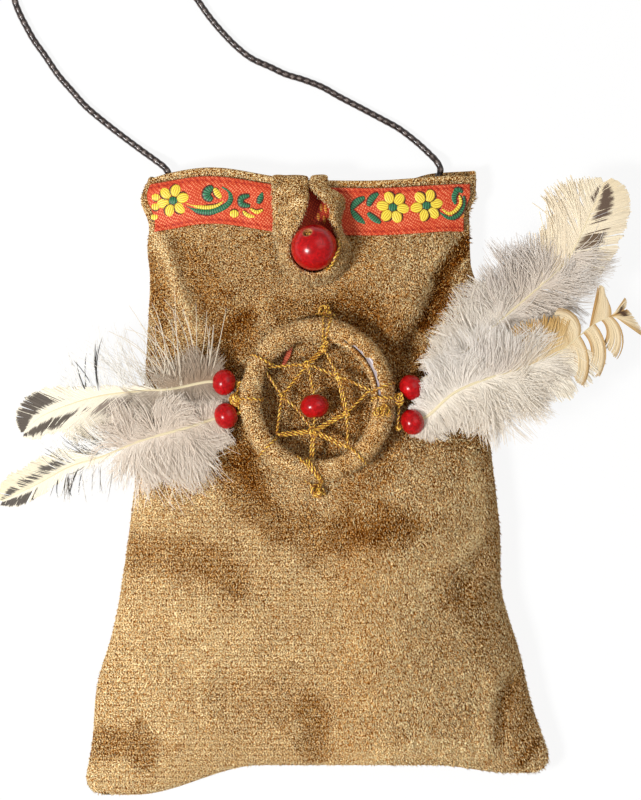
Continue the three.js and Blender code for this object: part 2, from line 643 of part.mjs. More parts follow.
const rightTie = sideTie(0, SIDES.right_upper, SIDES.right_lower);

// Feathers: the shaft is a curve from the bead's bore to the tip, by place in plan and height over the
// bead's middle. The width of the vane on each side of it is given at even steps from the quill to the
// tip, and the downy lower half is thicker than the vane.
const QUILL_SHARE = 0.07; // bare part of the shaft

function smoothValue(values, t) {
  return new THREE.CatmullRomCurve3(values.map((w, i) => new THREE.Vector3(i, w, 0))).getPoint(t).y;
}

function feather({ side, shaft, left, right, roll, splits }) {
  const quillEnd = side.centre.clone().addScaledVector(side.axis, SIDE_BEAD_LENGTH / 4);
  const quillOut = side.centre.clone().addScaledVector(side.axis, SIDE_BEAD_LENGTH / 2 + 1.5);
  const curve = new THREE.CatmullRomCurve3([quillEnd, quillOut,
    ...shaft.map(([x, y, lift]) => new THREE.Vector3(x, y, side.centre.z + lift))]);
  const stations = steps(20, (t) => t);
  for (const { at } of splits) {
    stations.push(at - 0.022, at, at + 0.012);
  }
  stations.sort((a, b) => a - b);
  const rings = stations.map((t) => {
    const along = clamp((t - QUILL_SHARE) / (1 - QUILL_SHARE), 0, 1);
    const centre = curve.getPointAt(t);
    const heading = curve.getTangentAt(t);
    const rolled = roll * smoothstep(t, 0.05, 0.3);
    const level = UP.clone().cross(heading).normalize().applyAxisAngle(heading, rolled);
    const up = heading.clone().cross(level).normalize();
    const split = (name) => splits.filter((s) => s.side === name)
      .reduce((share, s) => share * (1 - s.depth * bump(t, s.at, 0.014)), 1);
    const quill = QUILL_DIAMETER / 2;
    const opening = smoothstep(t, 0.06, 0.14);
    const width = (values, name) => Math.max(smoothValue(values, along) * split(name), 0) * opening;
    const leftWidth = quill + width(left, "left");
    const rightWidth = quill + width(right, "right");
    const thick = lerp(DOWN_THICKNESS, VANE_THICKNESS, smoothstep(t, 0.4, 0.6)) / 2;
    const body = lerp(quill, thick, smoothstep(t, 0.08, 0.2));
    const slant = BARB_SLANT * (1 - 0.8 * smoothstep(t, 0.85, 1));
    const vane = (share, half) => {
      const reach = share < 0 ? share * rightWidth : share * leftWidth;
      const forward = (Math.abs(reach) - quill * Math.abs(share)) * slant;
      return centre.clone()
        .addScaledVector(level, reach)
        .addScaledVector(heading, forward)
        .addScaledVector(up, half);
    };
    const edge = body * 0.35;
    const ridge = Math.max(body, quill);
    return [
      vane(1, edge), vane(0, ridge), vane(-1, edge),
      vane(-1, -edge), vane(0, -ridge), vane(1, -edge),
    ];
  });
  return loft(rings);
}

const FEATHERS = {
  feather_left_upper: {
    side: SIDES.left_upper,
    shaft: [[-46, 27, 0.4], [-62, 25.8, -0.6], [-75, 24, -2], [-84.5, 19.6, -3.5], [-92.5, 12.2, -5]],
    left: [2, 6, 8, 9, 8, 7.5, 6.5, 0],
    right: [2, 12, 11, 10, 14, 13, 6, 0],
    roll: 0.1,
    splits: [{ side: "right", at: 0.8, depth: 0.7 }],
  },
  feather_left_lower: {
    side: SIDES.left_lower,
    shaft: [
      [-45, 13.3, 1.6], [-56, 9.2, 1.4], [-69, 5, 0.4],
      [-81.5, -0.4, -1.2], [-91, -4.6, -2.6], [-99, -8.5, -4],
    ],
    left: [2, 14, 17, 13, 8, 6, 5.5, 0],
    right: [2, 5, 6, 6, 6, 6.5, 6, 0],
    roll: -0.14,
    splits: [{ side: "left", at: 0.62, depth: 0.4 }],
  },
  feather_right_upper: {
    side: SIDES.right_upper,
    shaft: [
      [42.5, 33.4, -0.4], [56.5, 43.6, -1.4], [69, 54.2, -2.4],
      [79, 68, -3.4], [87, 81.4, -4.6], [95, 93.6, -6],
    ],
    left: [2, 9, 13, 15, 14, 12, 9, 0],
    right: [1, 5, 8, 11, 13, 11, 9, 0],
    roll: -0.06,
    splits: [{ side: "right", at: 0.84, depth: 0.35 }],
  },
  feather_right_lower: {
    side: SIDES.right_lower,
    shaft: [
      [51.5, 27, 2.4], [67.8, 33, 2.6], [79, 39.2, 2],
      [88.5, 45.4, 1], [96.6, 50.6, 0.2], [102, 52.8, -0.4],
    ],
    left: [2, 9, 12, 13, 13, 10, 9, 1],
    right: [2, 12, 15, 16, 14, 11, 8, 2],
    roll: 0.05,
    splits: [
      { side: "left", at: 0.71, depth: 0.75 }, { side: "left", at: 0.83, depth: 0.8 },
      { side: "right", at: 0.76, depth: 0.5 }, { side: "right", at: 0.88, depth: 0.75 },
    ],
  },
};

// Shoulder cord: both ends are sewn inside the mouth; the routes lie on the table up to the coil.
const cordRadius = CORD_DIAMETER / 2;
const cordInside = CLOTH_THICKNESS + CLEARANCE + cordRadius;
const cordOnTable = cordRadius + 0.05;
const coilOuter = COIL_MEAN_RADIUS + COIL_BUNDLE_WIDTH / 2;
const coilTop = COIL_BUNDLE_HEIGHT - cordRadius;
const beside = coilOuter + CLEARANCE + cordRadius;
const atHeight = (z, places) => places.map((place) => flatPoint(place).setZ(z));
const leftRoute = [
  ...atHeight(cordInside, [[-43.5, 81], [-44.2, 87], [-45.4, 93], [-47.5, 97.7]]),
  ...atHeight(cordInside - 0.6, [[-51, 100.6]]),
  ...atHeight(cordOnTable + 0.4, [[-54.7, 103.3]]),
  ...atHeight(cordOnTable, [
    [-62.5, 109.1], [-69.1, 114.3], [-73.7, 118.3], [-78.2, 123.4], [-82.2, 128],
    [-86.7, 134.6], [-90, 139.2], [-92.6, 143.8], [-94.6, 147.7], [-96.2, 152],
    [-96.6, 157], [-94.6, 162], [-90.6, 166.4], [-87.2, 170.6], [COIL_X - beside, COIL_Y],
  ]),
];
const rightRoute = [
  ...atHeight(cordInside, [[36.6, 81], [37.4, 87], [39, 93], [40.6, 97.6]]),
  ...atHeight(cordInside - 0.2, [[39.4, 100.2]]),
  ...atHeight(cordOnTable + 0.7, [[37, 102.8]]),
  ...atHeight(cordOnTable + 0.1, [[33, 106.5]]),
  ...atHeight(cordOnTable, [
    [27.1, 111], [22.4, 113.6], [14.7, 117.7], [8, 121.2], [2.9, 124.1],
    [-3.7, 126.7], [-9, 128.3], [-14.1, 130.7], [-20, 133.4], [-24.6, 136.9],
    [-29.8, 142.2], [-33.8, 147], [-37.3, 152],
  ]),
  ...atHeight(cordOnTable + 0.4, [[-41.4, 158]]),
  ...atHeight(cordOnTable + 1.6, [[-44.6, 164]]),
  ...atHeight(lerp(cordOnTable, coilTop, 0.8), [[-46.6, 170]]),
  ...atHeight(coilTop, [[COIL_X + beside, COIL_Y]]),
];

const cordLeft = tube(leftRoute, cordRadius, 8, 20);
const cordRight = tube(rightRoute, cordRadius, 8, 25);

// Coil of the spare cord, drawn in by a tie.
const bundleProfile = (() => {
  const bevel = cordRadius * 0.8;
  const [inner, outer] = [COIL_MEAN_RADIUS - COIL_BUNDLE_WIDTH / 2, coilOuter];
  const top = COIL_BUNDLE_HEIGHT;
  const corners = [
    [inner, bevel], [inner + bevel, 0], [outer - bevel, 0], [outer, bevel],
    [outer, top - bevel], [outer - bevel, top], [inner + bevel, top], [inner, top - bevel], [inner, bevel],
  ];
  return corners.map(([r, z]) => new THREE.Vector2(r, z));
})();
const coilRing = facingOut(new THREE.LatheGeometry(bundleProfile, 24).rotateX(Math.PI / 2));
const tieMiddle = [0, COIL_MEAN_RADIUS, COIL_BUNDLE_HEIGHT / 2];
const tieBlock = (inset, width) => toSolid(new THREE.BoxGeometry(width, COIL_BUNDLE_WIDTH - 2 * inset,
  COIL_BUNDLE_HEIGHT - 2 * inset).translate(...tieMiddle));
const drawnIn = tieBlock(-CLEARANCE, TIE_WIDTH + 2 * CLEARANCE)
  .subtract(tieBlock(TIE_THICKNESS + CLEARANCE, TIE_WIDTH + 4 * CLEARANCE));
const strapCoil = fromSolid(toSolid(coilRing).subtract(drawnIn)).translate(COIL_X, COIL_Y, 0);
const strapTie = fromSolid(tieBlock(0, TIE_WIDTH).subtract(tieBlock(TIE_THICKNESS, TIE_WIDTH * 2)))
  .translate(COIL_X, COIL_Y, 0);

// Tacks: a stitch over each end of the cord, down to the inside of the back panel.
function strapTack(route) {
  const along = route[1].clone().sub(route[0]).normalize();
  const across = flatPoint([along.y, -along.x]);
  const radius = cordRadius + CLEARANCE + TACK_THREAD / 2;
  const middle = route[0].clone().addScaledVector(along, CORD_DIAMETER);
  const arch = steps(5, (t) => middle.clone().addScaledVector(across, radius * Math.cos(t * Math.PI))
    .addScaledVector(UP, radius * Math.sin(t * Math.PI)));
  const foot = (p) => p.clone().setZ(CLOTH_THICKNESS + CLEARANCE);
  return tube([foot(arch[0]), ...arch, foot(arch[arch.length - 1])], TACK_THREAD / 2, 6, 9);
}

function named(name, geometry, material) {
  const mesh = new THREE.Mesh(geometry, material);
  mesh.name = name;
  return mesh;
}

const pouch = new THREE.Group();
pouch.add(
  named("front_panel", frontPanel, PLUSH),
  named("back_panel", backPanel, PLUSH),
  named("ribbon_band", ribbonBand, RIBBON),
  named("closing_loop", closingLoop, PLUSH),
  named("button_bead", buttonBead, RED_WOOD),
  named("button_stitch", buttonStitch, GOLD_THREAD),
);

const hoop = new THREE.Group();
hoop.position.set(HOOP_X, HOOP_Y, hoopSeat);
hoop.rotation.x = hoopTilt;
hoop.add(
  named("hoop_core", hoopCore, CLEAR_CORE),
  named("hoop_wrap", hoopWrap, PLUSH),
  named("web_thread", webThread, GOLD_THREAD),
  named("web_bead", webBead, RED_WOOD),
);

const trim = new THREE.Group();
trim.add(
  named("hoop_stitch_top", hoopStitchTop, GOLD_THREAD),
  named("hoop_stitch_bottom", hoopStitchBottom, GOLD_THREAD),
  named("left_tie", leftTie, GOLD_THREAD),
  named("right_tie", rightTie, GOLD_THREAD),
);
for (const [name, side] of Object.entries(SIDES)) {
  trim.add(named(`side_bead_${name}`, sideBead(side), RED_WOOD));
}
for (const [name, shape] of Object.entries(FEATHERS)) {
  trim.add(named(name, feather(shape), FEATHER));
}

const strap = new THREE.Group();
strap.add(
  named("strap_cord_left", cordLeft, WAXED_CORD),
  named("strap_cord_right", cordRight, WAXED_CORD),
  named("strap_coil", strapCoil, WAXED_CORD),
  named("strap_tie", strapTie, WAXED_CORD),
  named("strap_tack_left", strapTack(leftRoute), GOLD_THREAD),
  named("strap_tack_right", strapTack(rightRoute), GOLD_THREAD),
);

const bag = new THREE.Group();
bag.add(pouch, hoop, trim, strap);
export default bag;
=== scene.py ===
# %% [markdown]
# # A plush pouch with a woven hoop, beads and feathers
# The pouch lies flat on its back. Its solids come packed as a frame, and this lesson dresses them:
# every soft piece is made again as what it really is, in the same place and at the same size.
# Shapes are worked out in millimetres with numpy and turned to metres when they become a mesh.

import bpy
import numpy as np
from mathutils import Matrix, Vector


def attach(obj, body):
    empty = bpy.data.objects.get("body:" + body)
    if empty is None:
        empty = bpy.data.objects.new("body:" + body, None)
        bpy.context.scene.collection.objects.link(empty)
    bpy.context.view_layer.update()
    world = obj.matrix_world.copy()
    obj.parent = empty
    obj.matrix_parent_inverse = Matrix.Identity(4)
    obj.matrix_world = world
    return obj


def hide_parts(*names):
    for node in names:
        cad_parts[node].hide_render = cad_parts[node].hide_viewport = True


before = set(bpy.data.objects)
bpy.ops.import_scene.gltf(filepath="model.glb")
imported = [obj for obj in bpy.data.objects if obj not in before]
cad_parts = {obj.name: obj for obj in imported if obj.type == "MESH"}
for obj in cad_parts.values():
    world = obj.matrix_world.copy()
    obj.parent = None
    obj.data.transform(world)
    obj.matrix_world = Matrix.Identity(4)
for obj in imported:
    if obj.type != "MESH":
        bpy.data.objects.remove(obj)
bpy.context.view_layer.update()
scene = bpy.context.scene
scene.view_settings.view_transform = "Standard"
MM = 0.001

# %% [markdown]
# ## Camera
# The pouch was photographed from straight above, from some distance, so nothing leans outwards.
# A camera with no rotation already looks down with +Y upwards, so it only needs a place and a long
# lens. Its view is as tall as 256 mm of the plane halfway up the pouch.

# %% Camera
LENS = 250.0  # mm
SENSOR = 36.0  # mm, along the picture's longer side
VIEW_HEIGHT = 256.0
VIEW_CENTRE = (2.08, 23.6)
FOCUS_HEIGHT = 10.0

camera_data = bpy.data.cameras.new("camera")
camera_data.lens = LENS
camera_data.sensor_width = SENSOR
camera = bpy.data.objects.new("camera", camera_data)
camera_height = FOCUS_HEIGHT + VIEW_HEIGHT * LENS / SENSOR
camera.location = (VIEW_CENTRE[0] * MM, VIEW_CENTRE[1] * MM, camera_height * MM)
scene.collection.objects.link(camera)
scene.camera = camera
print("camera height:", round(camera_height), "mm")

# %% [markdown]
# ## Tools for shapes
# Three ideas make every piece here. A smooth curve runs through a few places. A flat section is
# carried along such a curve, which gives a grid of points. A grid becomes a mesh when neighbouring
# points are joined by quads. All of them work on whole arrays.

# %% Curves
def unit(vectors):
    """The same directions at length one."""
    return vectors / np.maximum(np.linalg.norm(vectors, axis=-1, keepdims=True), 1e-12)


def curve_through(points, per_span=16):
    """Centripetal Catmull-Rom curve: a cubic between each two places, whose slope at a place leans
    on the places before and after it, weighted by the square roots of the distances."""
    p = np.asarray(points, float)
    p = np.vstack([2 * p[0] - p[1], p, 2 * p[-1] - p[-2]])
    gaps = np.sqrt(np.linalg.norm(np.diff(p, axis=0), axis=1))[:, None]
    p0, p1, p2, p3 = p[:-3], p[1:-2], p[2:-1], p[3:]
    d0, d1, d2 = gaps[:-2], gaps[1:-1], gaps[2:]
    m1 = ((p1 - p0) / d0 - (p2 - p0) / (d0 + d1) + (p2 - p1) / d1) * d1
    m2 = ((p2 - p1) / d1 - (p3 - p1) / (d1 + d2) + (p3 - p2) / d2) * d1
    s = np.linspace(0, 1, per_span, endpoint=False)[None, :, None]
    first, second = p1[:, None], p2[:, None]
    curve = (first * (2 * s**3 - 3 * s**2 + 1) + m1[:, None] * (s**3 - 2 * s**2 + s)
             + second * (3 * s**2 - 2 * s**3) + m2[:, None] * (s**3 - s**2))
    return np.vstack([curve.reshape(-1, p.shape[1]), p[-2]])


def lengths_along(path):
    """Distance from the start of the path to each of its points."""
    return np.r_[0, np.cumsum(np.linalg.norm(np.diff(path, axis=0), axis=1))]


def spaced(path, count):
    """The same path with its points at even distances."""
    far = lengths_along(path)
    at = np.linspace(0, far[-1], count)
    return np.stack([np.interp(at, far, column) for column in path.T], axis=1)


# %% Sections carried along a path
def carried(path, section, up=(0, 0, 1), closed=False):
    """Rings of points: each point of the path plus the section's offsets, sideways and upwards.
    Sideways is square to the path and to the given upward direction."""
    if closed:
        along = np.roll(path, -1, axis=0) - np.roll(path, 1, axis=0)
    else:
        along = np.gradient(path, axis=0)
    along = unit(along)
    side = unit(np.cross(np.asarray(up, float), along))
    lift = np.cross(along, side)
    return (path[:, None] + section[..., 0, None] * side[:, None]
            + section[..., 1, None] * lift[:, None])


def round_angles(count):
    """Angles at even steps round one full turn."""
    return np.arange(count) * 2 * np.pi / count


def round_section(radius, sides):
    """A circle of points; the radius may be an array of stations by sides."""
    angle = round_angles(sides)
    return np.stack([radius * np.cos(angle), radius * np.sin(angle)], axis=-1)


# %% Grids to meshes
def grid_quads(rows, columns, wrap_rows=False, wrap_columns=False):
    """Corner numbers of the quads of a grid, which may close on itself either way."""
    r = np.arange(rows if wrap_rows else rows - 1)[:, None]
    c = np.arange(columns if wrap_columns else columns - 1)[None, :]
    up, right = (r + 1) % rows, (c + 1) % columns
    corners = [r * columns + c, r * columns + right, up * columns + right, up * columns + c]
    return np.stack(corners, axis=-1).reshape(-1, 4)


def tube_faces(rings, sides, closed=False):
    """Quads between the rings of a tube, with a cap on each end if it is open."""
    faces = [grid_quads(rings, sides, closed, True)]
    if not closed:
        ends = np.arange(sides)
        faces += [ends[None, ::-1], (rings - 1) * sides + ends[None]]
    return faces


def repeated(faces, copies, points_each):
    """The same faces for many equal bundles of points that follow each other."""
    shift = np.arange(copies)[:, None, None] * points_each
    return [(block[None] + shift).reshape(-1, block.shape[1]) for block in faces]


# %% Points and faces to a piece
def enclosed(points, faces):
    """Volume inside the faces, by the corner triangles of each face."""
    volume = 0.0
    for block in faces:
        corner = points[block]
        for k in range(1, block.shape[1] - 1):
            volume += np.einsum("ij,ij->", corner[:, 0], np.cross(corner[:, k], corner[:, k + 1]))
    return volume / 6


triangles = {}


def put_mesh(name, points, faces, finish, uv=None, tint=None, stands_for=(), smooth=True):
    """Make a piece from points in mm: faces turned outwards, with an optional pair (uv) and
    colour (tint) for each point. It rides on the pouch and stands for the CAD nodes named."""
    points = np.asarray(points, float).reshape(-1, 3)
    if enclosed(points, faces) < 0:
        faces = [block[:, ::-1] for block in faces]
    corners = np.concatenate([block.ravel() for block in faces])
    sizes = np.concatenate([np.full(len(block), block.shape[1]) for block in faces])
    mesh = bpy.data.meshes.new(name)
    mesh.vertices.add(len(points))
    mesh.vertices.foreach_set("co", (points * MM).ravel())
    mesh.loops.add(len(corners))
    mesh.loops.foreach_set("vertex_index", corners.astype(np.int32))
    mesh.polygons.add(len(sizes))
    mesh.polygons.foreach_set("loop_start", np.r_[0, np.cumsum(sizes)[:-1]].astype(np.int32))
    mesh.polygons.foreach_set("use_smooth", np.full(len(sizes), smooth))
    mesh.update(calc_edges=True)
    if uv is not None:
        layer = mesh.uv_layers.new(name="cloth")
        layer.uv.foreach_set("vector", np.asarray(uv, np.float32).reshape(-1, 2)[corners].ravel())
    if tint is not None:
        tint = np.asarray(tint, float)
        if tint.size == len(points):
            tint = np.repeat(tint.reshape(-1, 1), 3, axis=1)
        shade = np.column_stack([tint.reshape(-1, 3), np.ones(len(points))])
        layer = mesh.attributes.new("tint", "FLOAT_COLOR", "POINT")
        layer.data.foreach_set("color", shade.astype(np.float32).ravel())
    mesh.materials.append(finish)
    piece = bpy.data.objects.new(name, mesh)
    scene.collection.objects.link(piece)
    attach(piece, "root")
    if stands_for:
        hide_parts(*stands_for)
    triangles[name] = int((sizes - 2).sum())
    print(name, len(points), "points,", triangles[name], "triangles")
    return piece


# %% [markdown]
# ## Tools for finishes
# Colours are written as they look on a screen, in sRGB hex, and Blender's shaders want them linear,
# so one function turns them. One more function adds a node with its settings and links, which keeps
# each material short enough to read.

# %% Colours
def linear(code):
    """sRGB hex to linear red, green and blue: the standard curve, for whole arrays."""
    value = np.array([int(code[i:i + 2], 16) for i in (1, 3, 5)]) / 255
    return np.where(value <= 0.04045, value / 12.92, ((value + 0.055) / 1.055) ** 2.4)


def paint(code):
    """A linear colour with alpha, for a socket."""
    return (*linear(code), 1.0)


# %% Nodes and materials
def add(tree, kind, values=None, stops=(), **settings):
    """Add a node of a kind, set its properties, give its sockets values or links, and fill the stops
    of a colour ramp from (place, hex) pairs. A node given as a value stands for its first output."""
    node = tree.nodes.new("ShaderNode" + kind)
    for key, value in settings.items():
        setattr(node, key, value)
    for key, value in (values or {}).items():
        if isinstance(value, bpy.types.Node):
            value = value.outputs[0]
        if isinstance(value, bpy.types.NodeSocket):
            tree.links.new(value, node.inputs[key])
        else:
            node.inputs[key].default_value = value
    for i, (place, code) in enumerate(stops):
        marks = node.color_ramp.elements
        mark = marks[i] if i < len(marks) else marks.new(place)
        mark.position = place
        mark.color = paint(code)
    return node


def new_finish(name):
    """An empty material, its node tree, and the place on the object, in metres."""
    finish = bpy.data.materials.new(name)
    finish.use_nodes = True
    tree = finish.node_tree
    tree.nodes.clear()
    print("finish:", name)
    return finish, tree, add(tree, "TexCoord").outputs["Object"]


# %% [markdown]
# ## Shoulder cord
# The strap is one length of black waxed cotton cord. Both ends are sewn inside the mouth. Most of it
# is out of the picture, wound up as for storage. A tube carried along one route does it: up from the
# left end, clockwise round the coil and back down to the right end. The braid is in the tube's
# radius, as two sets of strands that wind opposite ways and cross.

# %% Route of the cord
CORD_DIAMETER = 2.2
CORD_INSIDE = 3.2  # height of the cord's middle inside the mouth
CORD_ON_TABLE = 1.15
COIL_CENTRE = np.array([-66.0, 176.5])
COIL_MEAN_RADIUS = 12.5
COIL_PITCH = 2.4  # between turns that lie beside or on each other
COIL_BESIDE = 18.6  # where the ends run past the coil

left_lead = np.array([
    (-43.5, 81, CORD_INSIDE), (-44.2, 87, CORD_INSIDE), (-45.4, 93, CORD_INSIDE),
    (-47.5, 97.7, CORD_INSIDE), (-51, 100.6, CORD_INSIDE - 0.6), (-54.7, 103.3, CORD_ON_TABLE + 0.4),
    *[(x, y, CORD_ON_TABLE) for x, y in (
        (-62.5, 109.1), (-69.1, 114.3), (-73.7, 118.3), (-78.2, 123.4), (-82.2, 128), (-86.7, 134.6),
        (-90, 139.2), (-92.6, 143.8), (-94.6, 147.7), (-96.2, 152), (-96.6, 157), (-94.6, 162),
        (-90.6, 166.4), (-87.2, 170.6))],
])
right_lead = np.array([
    (36.6, 81, CORD_INSIDE), (37.4, 87, CORD_INSIDE), (39, 93, CORD_INSIDE), (40.6, 97.6, CORD_INSIDE),
    (39.4, 100.2, CORD_INSIDE - 0.2), (37, 102.8, CORD_ON_TABLE + 0.7), (33, 106.5, CORD_ON_TABLE + 0.1),
    *[(x, y, CORD_ON_TABLE) for x, y in (
        (27.1, 111), (22.4, 113.6), (14.7, 117.7), (8, 121.2), (2.9, 124.1), (-3.7, 126.7), (-9, 128.3),
        (-14.1, 130.7), (-20, 133.4), (-24.6, 136.9), (-29.8, 142.2), (-33.8, 147), (-37.3, 152))],
    (-41.4, 158, CORD_ON_TABLE + 0.4), (-44.6, 164, CORD_ON_TABLE + 1.6), (-46.6, 170, 4.9),
])


# %% Coil of the spare cord
def coil_route(per_turn=28):
    """Clockwise turns that move through the cells of a stack, in to the middle along the table and
    back out on top. Each turn stays in its cell and slides to the next in its last part."""
    cells = np.array([(3, 0), (2, 0), (1, 0), (0, 0), (0, 1), (1, 1), (1, 2), (2, 2), (2, 1), (3, 1),
                      (3, 2), (3, 2)], float)
    turns = len(cells) - 0.5
    at = np.linspace(0, turns, int(turns * per_turn) + 1)
    turn = np.minimum(at.astype(int), len(cells) - 1)
    slide = np.clip((at - turn - 0.6) / 0.4, 0, 1)
    slide = (slide**2 * (3 - 2 * slide))[:, None]
    cell = cells[turn] * (1 - slide) + cells[np.minimum(turn + 1, len(cells) - 1)] * slide
    radius = COIL_MEAN_RADIUS + (cell[:, 0] - 1.5) * COIL_PITCH
    outside = np.exp(-(at / 0.18) ** 2) + np.exp(-((turns - at) / 0.18) ** 2)
    radius = radius + (COIL_BESIDE - radius) * outside
    angle = np.pi - at * 2 * np.pi
    height = CORD_DIAMETER / 2 + cell[:, 1] * COIL_PITCH
    middle = COIL_CENTRE + radius[:, None] * np.column_stack([np.cos(angle), np.sin(angle)])
    return np.column_stack([middle, height])


cord_path = curve_through(np.vstack([left_lead, coil_route(), right_lead[::-1]]), 8)
cord_length = lengths_along(cord_path)[-1]
print("cord:", round(cord_length), "mm")

# %% Waxed cotton finish
# Braided cotton filled with black wax: dark and smooth, with a soft shine on the crowns of the
# strands, where the wax is thin and looks greyer.
waxed_cotton, tree, place = new_finish("waxed_cotton")
crown = add(tree, "Attribute", attribute_name="tint")
fleck = add(tree, "TexNoise", {"Vector": place, "Scale": 1 / (1.1 * MM), "Detail": 3.0})
mixed = add(tree, "Math", {0: crown.outputs["Fac"], 1: fleck}, operation="MULTIPLY")
shade = add(tree, "ValToRGB", {"Fac": mixed}, stops=[
    (0.08, "#1a1211"), (0.28, "#3c302d"), (0.55, "#8f837d")])
relief = add(tree, "Bump", {"Height": fleck, "Strength": 0.35, "Distance": 0.1 * MM})
skin = add(tree, "BsdfPrincipled", {
    "Base Color": shade, "Roughness": 0.24, "IOR": 1.5, "Normal": relief})
add(tree, "OutputMaterial", {"Surface": skin})

# %% Braided tube
BRAID_STEP = 2.4  # length of one diamond of the braid
RING_STEP = 0.42  # about how far apart the rings of the tube stand
CORD_SIDES = 16

stations = int(cord_length / RING_STEP)
cord_path = spaced(cord_path, stations)
wind = np.arange(stations)[:, None] * cord_length / stations * np.pi / BRAID_STEP
around = round_angles(CORD_SIDES)[None]
braid = np.cos(2 * around + wind) * np.cos(2 * around - wind)
cord_radius = CORD_DIAMETER / 2 * (0.9 + 0.1 * braid)
cord_rings = carried(cord_path, round_section(cord_radius, CORD_SIDES))
cord = put_mesh("shoulder_cord", cord_rings, tube_faces(stations, CORD_SIDES), waxed_cotton,
                tint=0.5 + 0.5 * braid, stands_for=("strap_cord_left", "strap_cord_right", "strap_coil"))

# %% [markdown]
# The tie that holds the coil is the same cord's offcut, wound flat three times round the bundle.
# Its solid has the right place, so only the turns are made: a closed round tube for each.

# %% Tie of the coil
TIE_CORD = 1.0
TIE_STATIONS, TIE_SIDES = 40, 8
TIE_HALF_WIDTH, TIE_HALF_HEIGHT, TIE_MIDDLE = 5.2, 3.5, 4.1


def squarer(wave, power):
    """A cosine or a sine with its sign kept and its size raised to a power below one. A circle made
    from such a pair has flatter sides."""
    return np.sign(wave) * np.abs(wave) ** power


angle = round_angles(TIE_STATIONS)
tie_y = COIL_CENTRE[1] + COIL_MEAN_RADIUS + TIE_HALF_WIDTH * squarer(np.cos(angle), 0.35)
tie_z = TIE_MIDDLE + TIE_HALF_HEIGHT * squarer(np.sin(angle), 0.35)
tie_turns = []
for shift in (-TIE_CORD, 0.0, TIE_CORD):
    turn = np.column_stack([np.full(TIE_STATIONS, COIL_CENTRE[0] + shift), tie_y, tie_z])
    tie_turns.append(carried(turn, round_section(TIE_CORD / 2, TIE_SIDES), up=(1, 0, 0), closed=True))
tie_turns = np.array(tie_turns)
tie_faces = repeated(tube_faces(TIE_STATIONS, TIE_SIDES, True), 3, TIE_STATIONS * TIE_SIDES)
coil_tie = put_mesh("coil_tie", tie_turns, tie_faces, waxed_cotton,
                    tint=np.full(tie_turns.size // 3, 0.45), stands_for=("strap_tie",))

# %% [markdown]
# ## Shape of the pouch
# The pouch is two plush panels sewn at the sides and the bottom. The front is puffed and folded, the
# back lies flat. A simulation would settle somewhere else each time a size changed, so the front is a
# formula: its outline, how full it is, and a soft ridge or valley along each fold that can be seen.
# u runs from the left seam (-1) to the right (1), v from the bottom seam (0) to the rim (1).

# %% Soft steps and bells
def smoothstep(x, low, high):
    """Zero below low, one above high, and a smooth S between."""
    t = np.clip((x - low) / (high - low), 0, 1)
    return t * t * (3 - 2 * t)


def bump(x, centre, spread):
    """A bell curve of height one."""
    return np.exp(-(((x - centre) / spread) ** 2))


# %% Outline of the pouch
POUCH_HEIGHT = 187.0
MOUTH_WIDTH = 104.0
BASE_WIDTH = 149.0
CLOTH_THICKNESS = 1.8
SEAM_HEIGHT = 6.0
CORNER_RADIUS = 7.0
LEFT_ROLLS = ((3.6, 88.5, 5.5), (1.2, 74, 6), (2.4, -60, 13))  # how far out, place and half length


def half_width(u, v):
    """Half the mouth, a flare towards the base, the dents and rolls of that side's own edge, and round
    bottom corners."""
    y = (v - 0.5) * POUCH_HEIGHT
    flare = (BASE_WIDTH - MOUTH_WIDTH) / 2 * (1 - v) ** 2
    left = sum(out * bump(y, place, spread) for out, place, spread in LEFT_ROLLS)
    right = (-2.3 * smoothstep(y, 56, 66) * (1 - smoothstep(y, 82, 89)) - 2.7 * bump(y, -37, 14)
             + 2.2 * smoothstep(-y, 68, 90))
    short = CORNER_RADIUS - np.minimum(v * POUCH_HEIGHT, CORNER_RADIUS)
    return (MOUTH_WIDTH / 2 + flare + np.where(u < 0, left, right)
            - (CORNER_RADIUS - np.sqrt(CORNER_RADIUS**2 - short**2)))


def bottom_edge(u):
    """The bottom seam, lower at both corners."""
    return -POUCH_HEIGHT / 2 - 9.5 * smoothstep(-u, 0.25, 0.85) - 2.5 * smoothstep(u, 0.55, 0.9)


def front_rim(u):
    """The front rim, with a wave towards the left and a slow rise to the right."""
    return POUCH_HEIGHT / 2 - 1 + 4.3 * bump(u, -0.62, 0.36) + 2 * smoothstep(u, 0.3, 1)


def back_rim(u):
    """The back rim hides behind the front one and shows above it at the right."""
    return front_rim(u) - 1 + 2.8 * smoothstep(u, 0.45, 0.75)


ends = np.array([-1.0, 1.0])
print("rim at both ends:", np.round(front_rim(ends), 1), "bottom:", np.round(bottom_edge(ends), 1))

# %% Folds
FOLDS = [  # route in plan, height (minus for a valley), half breadth
    ([(47.4, 73.5), (41, 62), (36.5, 50), (30, 40)], -4.8, 3.0),
    ([(41, 73.5), (34.5, 61), (26, 46)], 2.2, 4.0),
    ([(-50.6, 78), (-46.4, 69.7), (-43.5, 59), (-39.7, 49)], 2.4, 2.2),
    ([(-44.5, 75), (-37.8, 59), (-31.7, 50)], -2.2, 4.0),
    ([(-19, -3), (5, -27), (30, -4)], -1.4, 7),
    ([(-57, -25), (-26, -33)], -1.7, 5),
    ([(3, -94), (1, -78), (-12, -72), (-28, -70)], -1.7, 5.5),
    ([(-31, -87), (-19, -85.5), (-8, -87)], 2.2, 4),
    ([(15, -89), (34, -87.5), (55, -88.5)], 2.2, 4),
    ([(-69, -86), (-54, -90)], -2.4, 4),
    ([(66, -62), (61, -72), (59.5, -86)], -3.0, 2.6),
    ([(57, -66), (55.5, -86)], 1.8, 2.8),
    ([(59, -22), (52.5, -28.6), (47, -38)], -2.4, 3.0),
    ([(56, -17), (49.3, -23.8), (42, -29)], 1.8, 2.8),
]


